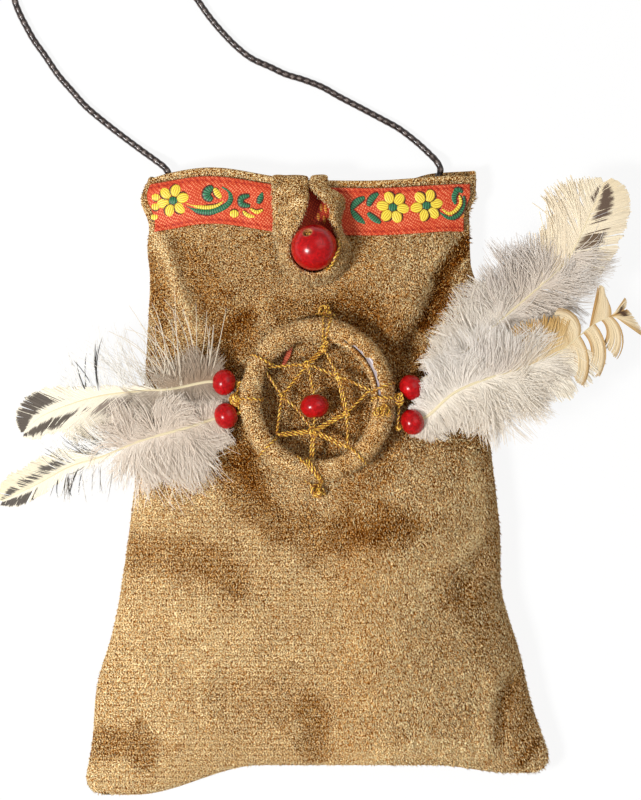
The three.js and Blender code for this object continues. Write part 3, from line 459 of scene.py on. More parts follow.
def distance_to(x, y, route):
    """Distance from each place to the nearest of a route's straight stretches: the place is dropped
    square onto the stretch, and onto its nearer end where it would miss."""
    near = np.inf
    for (ax, ay), (bx, by) in zip(route, route[1:]):
        dx, dy = bx - ax, by - ay
        t = np.clip(((x - ax) * dx + (y - ay) * dy) / (dx**2 + dy**2), 0, 1)
        near = np.minimum(near, np.hypot(x - ax - t * dx, y - ay - t * dy))
    return near


def fold_height(x, y):
    """The sum of all folds: each a bell curve of the distance to its route."""
    total = np.zeros_like(x)
    for route, height, breadth in FOLDS:
        total += height * bump(distance_to(x, y, route), 0, breadth)
    return total


# %% Front
PUFF_LOW, PUFF_MOUTH = 16.0, 5.5  # how far the front stands off its seam, low down and at the mouth


def front_point(u, v):
    """Outside of the front: the puff times a crown across and a rise from the bottom, plus the folds."""
    x = u * half_width(u, v)
    low = bottom_edge(u)
    y = low + (front_rim(u) - low) * v
    puff = PUFF_LOW + (PUFF_MOUTH - PUFF_LOW) * smoothstep(v, 0.3, 1)
    crown = np.maximum(0, 1 - np.abs(u) ** 3) ** 0.58
    rise = (1 - (1 - np.minimum(v / 0.32, 1)) ** 2.4) ** 0.55
    return np.stack([x, y, SEAM_HEIGHT + (puff + fold_height(x, y)) * crown * rise], axis=-1)


# %% Places on the front
def on_front(x, y):
    """u and v of a place in plan: they follow from each other in a few rounds."""
    x, y = np.asarray(x, float), np.asarray(y, float)
    v = np.full_like(x, 0.5)
    for _ in range(14):
        u = np.clip(x / half_width(x, v), -1, 1)  # the width asks only on which side x is
        low = bottom_edge(u)
        v = np.clip((y - low) / (front_rim(u) - low), 0, 1)
    return u, v


def front_height(x, y):
    """Height of the front at a place in plan."""
    return front_point(*on_front(x, y))[..., 2]


def front_facing(u, v, step=0.002):
    """Outward direction of the front, from two short steps along it."""
    u, v = np.clip(u, step - 1, 1 - step), np.clip(v, step, 1 - step)
    along = front_point(u + step, v) - front_point(u - step, v)
    return unit(np.cross(along, front_point(u, v + step) - front_point(u, v - step)))


# %% Back
def back_point(u, v):
    """The back lies on the table and turns up to the seam in a quarter circle."""
    reach = SEAM_HEIGHT - 0.3
    low = bottom_edge(u)
    y = low + (back_rim(u) - low) * v
    from_side = reach - np.minimum(half_width(u, v) * (1 - np.abs(u)), reach)
    from_bottom = reach - np.minimum(y - low, reach)
    outward = np.minimum(np.hypot(from_side, from_bottom), reach)
    return np.stack([u * half_width(u, v), y, reach - np.sqrt(reach**2 - outward**2)], axis=-1)


print("front at the middle:", round(float(front_height(0, 20)), 1), "mm high,",
      "back at the middle:", round(float(back_point(np.array(0.0), np.array(0.5))[2]), 1), "mm")

# %% [markdown]
# ## Plush
# Short-pile plush is a knit with a brushed face. Each tuft leans the way the pile is brushed, so it is
# bright along one side and dark beside it. Strokes of painted shade and highlight lie over the pile: shade
# in folds and creases, the hoop's shadow, highlights on ridges, and the sheen of pile brushed other ways.
# A bump alone looks like felt, so the pile is real: thousands of small leaning tufts on a darker
# ground. Ground and tufts share one finish, which reads how light each tuft is from the mesh.

# %% Brushed plush finish
# Brushed polyester pile over a knit: matt, pale crowns beside dark gaps, and a faint sheen edge on.
# The gaps of the knit are dark dots in rows. They show at the lower left, where the pile is short.
COURSE, WALE = 0.89, 0.95  # mm between the knit's rows, and between the stitches of a row
GRAIN = 0.34  # mm, a tuft
GRAIN_DARK, GRAIN_LIGHT = -0.53, 0.42  # what a gap takes from the lightness, and a crown adds to it
BAND = 0.314  # a wave texture's own step from band to band, at scale 1
# On the right the pile is combed, so a tuft looks longer and thinner, and slants.
COMBED_LONG, COMBED_THIN, COMBED_TURN = 1.75, 1.4, np.radians(-24)
brushed_plush, tree, place = new_finish("brushed_plush")
lightness = add(tree, "Attribute", attribute_name="tint")
tuft_noise = {"Scale": 1 / (GRAIN * MM), "Detail": 1.0, "Roughness": 0.5, "Distortion": 0.4}
upright = add(tree, "TexNoise", {"Vector": place, **tuft_noise})
combed = add(tree, "Mapping", {"Vector": place, "Rotation": (0, 0, COMBED_TURN),
                               "Scale": (COMBED_THIN, 1 / COMBED_LONG, 1)})
stroked_aside = add(tree, "TexNoise", {"Vector": combed, **tuft_noise})
where = add(tree, "SeparateXYZ", {0: place})
to_right = add(tree, "MapRange", {"Value": where.outputs["X"], "From Min": 0, "From Max": 30 * MM})
grain = add(tree, "Mix", {"Factor": to_right, "A": upright, "B": stroked_aside})
fine = add(tree, "MapRange", {"Value": grain, "From Min": 0.4, "From Max": 0.6,
                              "To Min": GRAIN_DARK, "To Max": GRAIN_LIGHT})
rows = add(tree, "TexWave", {"Vector": place, "Scale": BAND / (2 * COURSE * MM), "Distortion": 2.0,
                             "Detail": 1.0}, bands_direction="Y")
stitches = add(tree, "TexWave", {"Vector": place, "Scale": BAND / (WALE * MM), "Distortion": 3.0,
                                 "Detail": 1.0})
crossing = add(tree, "Math", {0: rows.outputs["Fac"], 1: stitches.outputs["Fac"]}, operation="MULTIPLY")
gaps = add(tree, "MapRange", {"Value": crossing, "From Min": 0.5, "From Max": 0.85})
to_left = add(tree, "MapRange", {"Value": where.outputs["X"], "From Min": -15 * MM, "From Max": 32 * MM,
                                 "To Min": -0.4, "To Max": -0.06})
to_base = add(tree, "MapRange", {"Value": where.outputs["Y"], "From Min": -30 * MM, "From Max": 0,
                                 "To Min": 1.0, "To Max": 0.3})
short_pile = add(tree, "Math", {0: to_left, 1: to_base}, operation="MULTIPLY")
knit = add(tree, "Math", {0: gaps, 1: short_pile, 2: fine}, operation="MULTIPLY_ADD")
level = add(tree, "Math", {0: lightness.outputs["Fac"], 1: knit}, operation="ADD")
shade = add(tree, "ValToRGB", {"Fac": level}, stops=[
    (0.0, "#3c1500"), (0.25, "#874506"), (0.5, "#bf8134"), (0.75, "#e7be7b"), (1.0, "#ffeebe")])
relief = add(tree, "Bump", {"Height": grain, "Strength": 0.3, "Distance": 0.4 * MM})
skin = add(tree, "BsdfPrincipled", {
    "Base Color": shade, "Roughness": 0.95, "IOR": 1.4, "Specular IOR Level": 0.05, "Normal": relief,
    "Sheen Weight": 0.03, "Sheen Roughness": 0.5, "Sheen Tint": paint("#d9bd8c")})
add(tree, "OutputMaterial", {"Surface": skin})


# %% Soft random fields
def ripple(x, y, size, seed, waves=26):
    """A smooth random field: the sum of plane waves of about the given size, each with its own
    direction and phase, scaled to a spread of about one."""
    draw = np.random.default_rng(seed)
    turn, phase = draw.uniform(0, 2 * np.pi, (2, waves))
    rate = 2 * np.pi / (size * draw.uniform(0.75, 1.5, waves))
    x, y = np.asarray(x)[..., None], np.asarray(y)[..., None]
    return np.sqrt(2 / waves) * np.cos(rate * (x * np.cos(turn) + y * np.sin(turn)) + phase).sum(-1)


# %% Strokes of painted shade and highlight
NAP_LIGHT = 0.93  # the pile's lightness before the painted shade and highlights
# Each stroke paints light or shade into the pile's colour: shade in folds and creases, the hoop's shadow
# below and inside it, highlights along ridges, a paler band along the rim, and the lighter and darker sheen
# of pile brushed other ways.
PAINTED_LIGHT_STROKES = [  # route in plan, half breadth, how much lighter
    ([(-57.9, -24.1), (-44.5, -25.7), (-31.7, -28.2), (-26, -34)], 8.0, -0.22),
    ([(-24.6, 1.2), (-20.5, -8.4), (-10.6, -16.4), (1.6, -20.2), (14.7, -18.6), (27.5, -16.4)], 9.0, -0.28),
    ([(14.7, -19.6), (27.5, -16.4), (40.3, -14.8)], 3.6, -0.12),
    ([(58, -20), (55, -32), (48, -39)], 9.0, -0.13),
    ([(56.3, -17.4), (49.3, -23.8), (42.6, -28.6)], 2.6, 0.14),
    ([(49.9, 6.6), (52.5, -4), (52.8, -12), (51.5, -22)], 3.0, 0.16),
    ([(44, -33), (52, -43), (58, -56)], 8.0, -0.1),
    ([(-28, -70), (-12, -71.5), (1, -75)], 9.0, -0.07),
    ([(-1, -76), (0, -88)], 7.0, -0.19),
    ([(-69.8, -86.8), (-57.6, -85.8), (-53.4, -89)], 7.0, -0.28),
    ([(66.2, -63.1), (63.4, -66.6), (59.9, -75.3), (59.4, -86.5)], 2.4, -0.24),
    ([(64.3, -70.4), (67.5, -86.8)], 6.0, -0.18), ([(57.2, -69.2), (55.8, -86.8)], 2.4, 0.12),
    ([(72, -84.6), (66.2, -92.9)], 1.6, -0.22),
    ([(-31.4, -87.4), (-18.9, -85.5), (-9, -87.8)], 2.6, -0.02),
    ([(15.7, -90.6), (33.9, -87.8), (56, -89)], 4.0, 0.13),
    ([(-50.9, 77), (-46.4, 69.7), (-43, 59.1), (-37.5, 47)], 2.8, 0.24),
    ([(-40, 70), (-34, 59), (-28, 50)], 8.0, -0.18),
    ([(-52.5, 68), (-49.5, 57), (-49, 47)], 3.0, -0.2),
    ([(49.3, 74.8), (42.8, 66.5), (39.6, 57.2), (35.8, 48.6)], 3.4, -0.5),
    ([(45.1, 75.4), (38.1, 66.5), (35.2, 57.2), (31.4, 48.6)], 2.0, 0.14),
    ([(12.2, 53), (21.1, 47.6), (28.2, 39.6), (31.4, 32.6)], 8.0, -0.22),
    ([(-22.1, 48.2), (-27.5, 41.2), (-29.4, 33.2)], 6.5, -0.24),
    ([(-12, 53), (4, 54)], 5.0, -0.17), ([(-10, 47), (14, 47)], 4.0, -0.08),
    ([(1.1, 27), (1.1, 20)], 19, -0.14),
    ([(-52, 96), (-30, 97), (0, 94.5), (52, 96.5)], 3.0, 0.12),
    ([(-25.3, 14), (-22.1, 2.8), (-16.6, -5.2)], 5.5, -0.19),
    ([(25.9, 10.8), (21.1, -0.4), (11.5, -6.8)], 5.0, -0.14),
]


def pile_lightness_and_painted_light(x, y):
    """How light the pile is at a place in plan: darker towards the rim, darker towards the right as painted
    shade, lighter at the lower left, with strokes of painted shade and highlight that fall off over their
    outer half and have a ragged edge, and small ripples."""
    light = (NAP_LIGHT - 0.16 * smoothstep(y, -12, 12)
             - 0.06 * smoothstep(x, -20, 50) * (1 - smoothstep(y, 20, 60))
             + 0.06 * smoothstep(-x, 0, 40) * smoothstep(-y, 30, 50)
             + 0.02 * ripple(x, y, 34, 3) + 0.012 * ripple(x, y, 7, 4))
    ragged = 1 + 0.14 * ripple(x, y, 9, 6)
    for route, breadth, amount in PAINTED_LIGHT_STROKES:
        near = distance_to(x, y, route)
        light = light + amount * (1 - smoothstep(near * ragged / breadth, 0.35, 1.15))
    return light


# %% Panels
def panel_shell(point, facing, columns, rows, depth, rim_rows=4):
    """A sheet with thickness: the outside surface, the same surface moved in by the depth, and a
    rounded rim. Each row runs along the outside and back along the inside. At the seam the sheet is
    moved in level, and no point passes the seam's height."""
    t = np.linspace(0, 1, columns)
    u = 0.5 * (2 * t - 1) + 0.5 * np.sin((t - 0.5) * np.pi)
    w = np.linspace(0, 1, rows)
    v = 0.35 * (1 - np.cos(w * np.pi / 2)) + 0.65 * w
    face = point(u[None] + 0 * v[:, None], v[:, None] + 0 * u[None])
    normal = facing * unit(np.cross(np.gradient(face, axis=1), np.gradient(face, axis=0)))
    level = np.zeros_like(normal)
    level[:, 0, 0], level[:, -1, 0], level[0, :, 1] = -1, 1, -1
    edge = np.abs(level).sum(-1, keepdims=True) > 0
    normal = np.where(edge, unit(level), normal)
    seam = point(np.array(1.0), np.array(0.5))[2]
    inside = face - normal * depth(v)[:, None, None]
    inside[..., 2] = facing * np.maximum(facing * inside[..., 2], facing * seam)
    turn = np.linspace(0, np.pi / 2, rim_rows + 1)[1:-1, None, None]
    middle, half = (face[-1] + inside[-1]) / 2, (face[-1] - inside[-1]) / 2
    bulge = np.array([0, 1, 0]) * np.linalg.norm(half, axis=-1, keepdims=True) * np.sin(turn)
    face = np.concatenate([face, middle + half * np.cos(turn) + bulge])
    inside = np.concatenate([inside, middle - half * np.cos(turn) + bulge])
    normal = np.concatenate([normal, np.repeat(normal[-1:], rim_rows - 1, axis=0)])
    return face, inside, normal


def shell_mesh(name, face, inside, finish, light, stands_for, uv=None):
    """Close the outside and the inside of a panel to one mesh, with caps at both ends."""
    loop = np.concatenate([face, inside[:, ::-1]], axis=1)
    rows, columns = loop.shape[:2]
    half = np.arange(columns // 2 - 1)
    cap = np.stack([half, half + 1, columns - 2 - half, columns - 1 - half], axis=-1)
    faces = [grid_quads(rows, columns, False, True), cap[:, ::-1], cap + (rows - 1) * columns]
    tint = np.concatenate([light, np.full(inside.shape[:2], 0.5)], axis=1)
    if uv is not None:
        uv = np.concatenate([uv, uv[:, ::-1]], axis=1)
    return put_mesh(name, loop, faces, finish, uv=uv, tint=tint.ravel(), stands_for=stands_for)


# %% Front and back panels
HEM_DEPTH = 16.0


def hemmed(v):
    """Thickness of the front: the hem is turned over below the rim."""
    low = POUCH_HEIGHT - HEM_DEPTH
    return CLOTH_THICKNESS + smoothstep(v * POUCH_HEIGHT, low, low + HEM_DEPTH / 2)


front_face, front_inside, front_normal = panel_shell(front_point, 1, columns=150, rows=180, depth=hemmed)
drape = 0.08 * ripple(front_face[..., 0], front_face[..., 1], 13, 5)
front_face = front_face + front_normal * (drape - 0.25)[..., None]
# The front's lightness carries the painted shade and highlight strokes.
ground = pile_lightness_and_painted_light(front_face[..., 0], front_face[..., 1]) - 0.3
front = shell_mesh("pouch_front", front_face, front_inside, brushed_plush, ground,
                   ("front_panel",))
back_face, back_inside, _ = panel_shell(
    back_point, -1, columns=110, rows=110, depth=lambda v: np.full_like(v, CLOTH_THICKNESS))
back_light = 0.66 + 0.06 * ripple(back_face[..., 0], back_face[..., 1], 26, 8)
back = shell_mesh("pouch_back", back_face, back_inside, brushed_plush, back_light, ("back_panel",))


# %% Tufts of the pile
def tufts(name, root, lean, light, length, breadth, seed, dip=0.12):
    """Three-sided spikes, one for each root: three points round the root and a tip along the lean.
    The root is darker than the tip by the dip."""
    draw = np.random.default_rng(seed)
    count = len(root)
    lean = unit(lean)
    side = unit(np.cross(lean, draw.normal(size=(count, 3))))
    third = np.cross(lean, side)
    angle = round_angles(3)
    ring = (side[:, None] * np.cos(angle)[None, :, None] + third[:, None] * np.sin(angle)[None, :, None])
    wide = np.reshape(breadth * draw.uniform(0.7, 1.3, count), (count, 1, 1))
    tip = root + lean * (length * draw.uniform(0.6, 1.4, count))[:, None]
    points = np.concatenate([root[:, None] + ring * wide / 2, tip[:, None]], axis=1)
    faces = repeated([np.array([[0, 1, 3], [1, 2, 3], [2, 0, 3], [0, 2, 1]])], count, 4)
    tint = light[:, None] + np.multiply.outer(dip + 0 * light, (-1, -1, -1, 1.3))
    return put_mesh(name, points, faces, brushed_plush, tint=tint.ravel())


def scatter(face, normal, count, seed):
    """Random places on a grid surface, even by area: a cell is drawn by its size, and a place in it."""
    draw = np.random.default_rng(seed)
    across, up = face[:-1, 1:] - face[:-1, :-1], face[1:, :-1] - face[:-1, :-1]
    size = np.linalg.norm(np.cross(across, up), axis=-1).ravel()
    cell = draw.choice(size.size, count, p=size / size.sum())
    r, c = np.unravel_index(cell, across.shape[:2])
    a, b = draw.uniform(size=(2, count, 1))
    root = face[r, c] + across[r, c] * a + up[r, c] * b
    return root, normal[r, c]


# %% Places of the tufts
# Three tufts stand at each stitch of the knit, somewhat astray. Seen from above, few stitches fall on the
# steep sides, so these take more tufts, spread by area.
PER_STITCH = 3
SIDE_TUFTS = 30000  # over the whole front, of which the steep ones are kept

row, column = np.mgrid[-104:98:COURSE, -77:77:WALE]  # a field somewhat larger than the pouch
column = column + 0.5 * WALE * (np.round(row / COURSE) % 2)
plan = np.tile(np.column_stack([column.ravel(), row.ravel()]), (PER_STITCH, 1))
astray = 0.26 + 0.2 * smoothstep(plan[:, :1], 0, 30)
x, y = (plan + astray * np.random.default_rng(21).normal(size=plan.shape)).T
u, v = on_front(x, y)
inside = (np.abs(x) < half_width(u, v)) & (y > bottom_edge(u)) & (y < front_rim(u))
root, out_of = front_point(u[inside], v[inside]), front_facing(u[inside], v[inside])
side_root, side_out = scatter(front_face, front_normal, SIDE_TUFTS, 22)
on_side = side_out[:, 2] < 0.6
root, out_of = np.vstack([root, side_root[on_side]]), np.vstack([out_of, side_out[on_side]])
print("tufts on the front:", len(root))

# %% Lie of the tufts
TUFT_RISE = 0.3  # how steeply the tufts stand off the cloth
TUFT_BREADTH = 0.42

x, y = root[:, 0], root[:, 1]
aside = smoothstep(x, 5, 42)  # on the right the pile was stroked aside
upper = smoothstep(y, -22, 8)  # and near the mouth it lies in all directions
stroked = np.maximum(aside, upper)
swirl = np.radians(-95 + 38 * stroked + (8 + 16 * upper) * ripple(x, y, 22, 23)
                   + (8 + 24 * upper) * ripple(x, y, 5, 24))
flat_lean = np.column_stack([np.cos(swirl), np.sin(swirl), 0 * swirl])
steep = 1 - smoothstep(out_of[:, 2], 0.1, 0.7)
lean = unit(flat_lean - out_of * np.einsum("ij,ij->i", flat_lean, out_of)[:, None])
lean = lean + (TUFT_RISE + 0.6 * steep)[:, None] * out_of
course = 0.05 * np.cos(np.pi * y / COURSE) * (1 - stroked)
# Each tuft's lightness carries the painted shade and highlight strokes, the knit's rows and random tone.
light = pile_lightness_and_painted_light(x, y) + course + (0.05 + 0.07 * stroked) * np.random.default_rng(25).normal(size=len(root))
length = (0.75 + 0.5 * aside) * (1 - 0.3 * steep)
pile = {"upper": y > 20, "middle": (y <= 20) & (y > -40), "lower": y <= -40}
for part, chosen in pile.items():
    tufts("pouch_pile_" + part, root[chosen], lean[chosen], light[chosen], length[chosen],
          TUFT_BREADTH, 26, dip=0.07)

# %% [markdown]
# ## Ribbon
# A red woven trim with flowers and scrolls is sewn on just below the rim. It is a thin band that
# follows the front, with a row of stitches along both edges. The pattern is raised satin stitch, so
# each petal, leaf and scroll is a small crowned stroke laid on the band, not a picture.

# %% Woven trim finish
# Polyester twill: short pale dashes in slanting rows, slightly shiny, on a deeper red. The rows are
# drawn somewhat coarser than they are, because they are too fine to show.
RIB_STEP, PICK_STEP = 0.65, 0.95  # mm between the slanting rows, and along a row
woven_trim, tree, place = new_finish("woven_trim")
cloth_map = add(tree, "UVMap", uv_map="cloth")
turned = add(tree, "Mapping", {"Vector": cloth_map, "Rotation": (0, 0, np.radians(38))})
rib = add(tree, "TexWave", {"Vector": turned, "Scale": BAND / RIB_STEP, "Distortion": 4.0,
                            "Detail": 2.0, "Detail Scale": 2.0})
picks = add(tree, "TexWave", {"Vector": turned, "Scale": BAND / PICK_STEP, "Distortion": 6.0,
                              "Detail": 2.0, "Detail Scale": 1.5}, bands_direction="Y")
dashes = add(tree, "Math", {0: rib.outputs["Fac"], 1: picks.outputs["Fac"]}, operation="MULTIPLY")
worn = add(tree, "TexNoise", {"Vector": place, "Scale": 1 / (6 * MM), "Detail": 3.0})
fade = add(tree, "MapRange", {
    "Value": worn, "From Min": 0.35, "From Max": 0.65, "To Min": 0.55, "To Max": 1.15})
# The mesh's tint darkens the stitch lines, and paints shade on the ribbon between the loop's arms.
stitch_dark_and_painted_shade = add(tree, "Attribute", attribute_name="tint")
weave = add(tree, "Math", {0: dashes, 1: fade, 2: 0.12}, operation="MULTIPLY_ADD")
depth = add(tree, "Math", {0: weave, 1: stitch_dark_and_painted_shade.outputs["Fac"]}, operation="MULTIPLY")
shade = add(tree, "ValToRGB", {"Fac": depth}, stops=[
    (0.0, "#7e0808"), (0.14, "#c63a1c"), (0.5, "#e36638"), (0.95, "#f49c74")])
relief = add(tree, "Bump", {"Height": rib.outputs["Fac"], "Strength": 0.4, "Distance": 0.12 * MM})
skin = add(tree, "BsdfPrincipled", {
    "Base Color": shade, "Roughness": 0.6, "IOR": 1.5, "Specular IOR Level": 0.3, "Normal": relief})
add(tree, "OutputMaterial", {"Surface": skin})

# %% Band of the ribbon
RIBBON_WIDTH = 15.2
RIBBON_THICKNESS = 0.6
RIBBON_BELOW_RIM = 1.7
RIBBON_GAP = 0.45
RIBBON_SPAN = 0.955
STITCH_INSET = 1.3
STITCH_STEP = 2.5

u = RIBBON_SPAN * np.linspace(-1, 1, 300)[None]
across = RIBBON_WIDTH * np.linspace(0, 1, 26)[:, None]
rim_shows = RIBBON_BELOW_RIM - 0.6 * bump(u, 0.15, 0.5)
v = 1 - (rim_shows + RIBBON_WIDTH - across) / (front_rim(u) - bottom_edge(u))
foot = front_point(u + 0 * v, v)
ribbon_normal = unit(np.cross(np.gradient(foot, axis=1), np.gradient(foot, axis=0)))
along = np.cumsum(np.linalg.norm(np.gradient(foot, axis=1), axis=-1), axis=1)
from_edge = np.minimum(across, RIBBON_WIDTH - across) + 0 * along
stitched_line = bump(from_edge, STITCH_INSET, 0.45)
stitch = 0.5 - 0.5 * np.cos(2 * np.pi * along / STITCH_STEP)
lift = (RIBBON_GAP + RIBBON_THICKNESS * (0.45 + 0.55 * smoothstep(from_edge, 0, 0.5))
        - 0.34 * stitched_line * (0.4 + 0.6 * stitch) + 0.07 * ripple(foot[..., 0], foot[..., 1], 9, 31))
ribbon_face = foot + ribbon_normal * lift[..., None]
ribbon_under = foot + ribbon_normal * (RIBBON_GAP - 0.2)
painted_loop_shade = bump(foot[..., 0], 2.0, 4.2) * smoothstep(foot[..., 1], 74, 80)  # painted shade on the ribbon between the loop's arms
# Darker along the stitch lines, and painted shade on the ribbon inside the loop.
stitch_dark_and_loop_shade = (1 - 0.5 * stitched_line - 0.35 * stitched_line * stitch) * (1 - 0.75 * painted_loop_shade)
ribbon = shell_mesh("ribbon", ribbon_face, ribbon_under, woven_trim, stitch_dark_and_loop_shade, ("ribbon_band",),
                    uv=np.stack([along, across + 0 * along], axis=-1))


# %% Satin stitch finishes
# Rayon embroidery: threads laid side by side, so each stroke shines across its threads. That shine
# and the shade between the threads are painted, as light and dark bands.
def satin_finish(name, dark, light, run="X", step=0.75):
    """A stitched colour whose fine threads lie across each stroke (X) or along it (Y), a step apart."""
    finish, tree, _ = new_finish(name)
    laid = add(tree, "UVMap", uv_map="cloth")
    threads = add(tree, "TexWave", {"Vector": laid, "Scale": BAND / step, "Distortion": 0.8,
                                    "Detail": 1.0}, bands_direction=run)
    # Light on each thread's crown and dark between threads: painted sheen and painted shade.
    shade = add(tree, "ValToRGB", {"Fac": threads.outputs["Fac"]}, stops=[(0.0, dark), (0.8, light)])
    relief = add(tree, "Bump", {"Height": threads.outputs["Fac"], "Strength": 0.5, "Distance": 0.12 * MM})
    skin = add(tree, "BsdfPrincipled", {
        "Base Color": shade, "Roughness": 0.45, "IOR": 1.5, "Sheen Weight": 0.1,
        "Normal": relief})
    add(tree, "OutputMaterial", {"Surface": skin})
    return finish


SATIN = {
    "yellow": satin_finish("satin_yellow", "#b8860e", "#fdea4e"),
    "petal": satin_finish("satin_petal", "#cc9a10", "#fdea4e", "Y", 0.4),
    "green": satin_finish("satin_green", "#0c3420", "#2c8254"),
    "orange": satin_finish("satin_orange", "#b04a10", "#f0a030"),
    "red": satin_finish("satin_red", "#b43a22", "#ee7a52"),
    # The outline thread: partly the dark ground threads round the motifs, partly painted shade round the
    # raised strokes.
    "outline": satin_finish("satin_outline_and_shade", "#2c0f06", "#6a2412"),
}

# %% Strokes of the pattern
STROKE_STATIONS = 26
STROKE_SECTION = np.array([(-1, 0), (-0.8, 0.55), (-0.4, 0.92), (0, 1), (0.4, 0.92), (0.8, 0.55), (1, 0)])
STROKE_HEIGHT = 0.3
STROKE_SINK = 0.04  # into the band, so that no gap shows


def embroidered(name, colour, strokes, wider=0.0, height_share=1.0):
    """Lay crowned strokes on the ribbon. Each stroke is a route in plan and its breadth; it narrows
    to both ends as a power of a half sine. Wider strokes lie under others as their outline."""
    rings, uv = [], []
    swell = np.sin(np.linspace(0.1, np.pi - 0.1, STROKE_STATIONS)) ** 0.5
    for route, breadth in strokes:
        plan = spaced(curve_through(route), STROKE_STATIONS)
        height = front_height(plan[:, 0], plan[:, 1]) + RIBBON_GAP + RIBBON_THICKNESS - STROKE_SINK
        half, crown = breadth / 2 * swell + wider / 2, height_share * STROKE_HEIGHT * np.sqrt(swell)
        section = STROKE_SECTION[None] * np.stack([half, crown], axis=-1)[:, None]
        rings.append(carried(np.column_stack([plan, height]), section))
        far = lengths_along(plan)
        uv.append(np.stack(np.broadcast_arrays(far[:, None], STROKE_SECTION[None, :, 0]), axis=-1))
    sides = len(STROKE_SECTION)
    faces = repeated(tube_faces(STROKE_STATIONS, sides), len(rings), STROKE_STATIONS * sides)
    return put_mesh(name, np.array(rings), faces, SATIN[colour], uv=np.array(uv))


def petals(x, y, turn, count=6, inner=1.4, outer=5.2, breadth=3.7):
    """Round strokes that radiate from a flower's middle."""
    angle = np.radians(turn) + round_angles(count)
    ends = np.stack([np.cos(angle), np.sin(angle)], axis=-1)
    middle = np.array([x, y])
    return [((middle + inner * end, middle + outer * end), breadth) for end in ends]


def spot(x, y, radius):
    """A round spot: one short stroke as wide as it is long."""
    return (((x - radius, y), (x + radius, y)), 2 * radius)


# %% Flowers, leaves and scrolls
flowers, green = [], []
for x, y, turn in ((-45.1, 87.4, 14), (25.2, 85.2, -8), (36.0, 85.8, 12)):
    flowers += petals(x, y, turn)
    green.append(spot(x, y, 1.35))
yellow = [
    spot(-50.6, 88.6, 1.35), spot(-50.7, 85.6, 1.35), spot(-51.0, 82.2, 1.2), spot(-25.5, 83.1, 1.4),
    (((-40.8, 86.5), (-37.4, 85.5), (-34.2, 85.1), (-31, 85.7), (-29.0, 87.1)), 1.5),
    (((-31.9, 91.3), (-30.8, 89.6), (-29.6, 88.1)), 2.2),
    (((-22.7, 84), (-21.2, 82.6), (-18.8, 82)), 1.5), (((-20.3, 84.7), (-18.3, 83.6), (-16.3, 84.4)), 1.4),
    (((46.5, 89.2), (46.9, 86.8), (45.2, 84.3), (42.9, 83.3), (40.8, 84.8)), 1.5),
]
green += [
    (((-32.3, 91.8), (-34, 90.4), (-34.3, 88.8), (-32.4, 87.5)), 2.7),
    (((-29.4, 91.7), (-27.3, 90.3), (-26.6, 88.3), (-27.7, 86), (-30.5, 84.4), (-33.7, 83.7), (-37.4, 84.2),
      (-40.8, 85.7)), 2.1),
    (((-20.6, 89), (-23.2, 88.1), (-23.2, 86.3), (-20.4, 85.5)), 1.8), (((-17.8, 86.3), (-16.4, 90)), 1.8),
    (((11.8, 84.4), (13.4, 86.7), (16.2, 88.4)), 2.2), (((11.8, 84.4), (13.6, 82), (16.3, 79.9)), 2.2),
    (((17.3, 85.5), (18.4, 87.9), (20.6, 89.6)), 2.1), (((17.1, 83.4), (19, 81.6), (21.3, 80.1)), 2.1),
    (((45.2, 86.2), (44.6, 88.6), (45.9, 90.8), (47.6, 90)), 2.1),
    (((47.9, 89), (47.9, 86.3), (46.2, 83), (43.1, 81.8), (40.2, 83.6)), 1.6),
]
orange = [spot(47.4, 82.6, 0.8)] + [
    (((x, y), (x + 0.2, y - 2.6)), 1.2) for x, y in ((2.2, 86.4), (3.6, 86), (1.3, 83.4), (3.2, 82.6))]
# The dark outline is partly ground thread and partly painted shade round the raised strokes.
embroidered("ribbon_outline_and_shade", "outline", flowers + yellow + green, wider=0.6, height_share=0.45)
embroidered("ribbon_petals", "petal", flowers)
embroidered("ribbon_yellow", "yellow", yellow)
embroidered("ribbon_green", "green", green)
embroidered("ribbon_orange", "orange", orange)
embroidered("stray_fibre", "red", [(((-7.0, 41), (-8.3, 38), (-10, 34.4)), 1.7)])  # caught in the pile

# %% [markdown]
# ## Wooden beads
# All beads are turned from wood and dipped in red lacquer. A ball from Blender's menu would have no
# bore for the thread, so each bead is a half outline turned about its bore, as on a lathe. The lacquer
# is thin at the edge of the bore, where pale wood shows, so the finish reads from the mesh where it
# is bare.

# %% Lacquered wood finish
# Glossy alkyd lacquer over beech: deep red with a hard highlight and very faint turning rings.
lacquered_wood, tree, place = new_finish("lacquered_wood")
covered = add(tree, "Attribute", attribute_name="tint")
streak = add(tree, "TexNoise", {"Vector": place, "Scale": 1 / (1.6 * MM), "Detail": 4.0, "Distortion": 1.5})
red = add(tree, "ValToRGB", {"Fac": streak}, stops=[(0.3, "#8c0509"), (0.7, "#c80e14")])
bare = add(tree, "ValToRGB", {"Fac": streak}, stops=[(0.3, "#8a4a22"), (0.7, "#c99a62")])
coat = add(tree, "Mix", {0: covered.outputs["Fac"], 6: bare, 7: red}, data_type="RGBA")
dull = add(tree, "MapRange", {"Value": covered.outputs["Fac"], "To Min": 0.7, "To Max": 0.22})
relief = add(tree, "Bump", {"Height": streak, "Strength": 0.06, "Distance": 0.2 * MM})
skin = add(tree, "BsdfPrincipled", {
    "Base Color": coat.outputs[2], "Roughness": dull, "IOR": 1.52, "Specular IOR Level": 0.12,
    "Coat Weight": 0.45, "Coat Roughness": 0.24, "Normal": relief})
add(tree, "OutputMaterial", {"Surface": skin})


# %% Turned beads
def square_to(axis):
    """Three directions square to each other, the last along the axis."""
    axis = unit(np.asarray(axis, float))
    helper = np.array([0, 0, 1.0]) if abs(axis[2]) < 0.8 else np.array([1.0, 0, 0])
    first = unit(np.cross(helper, axis))
    return np.array([first, np.cross(axis, first), axis])


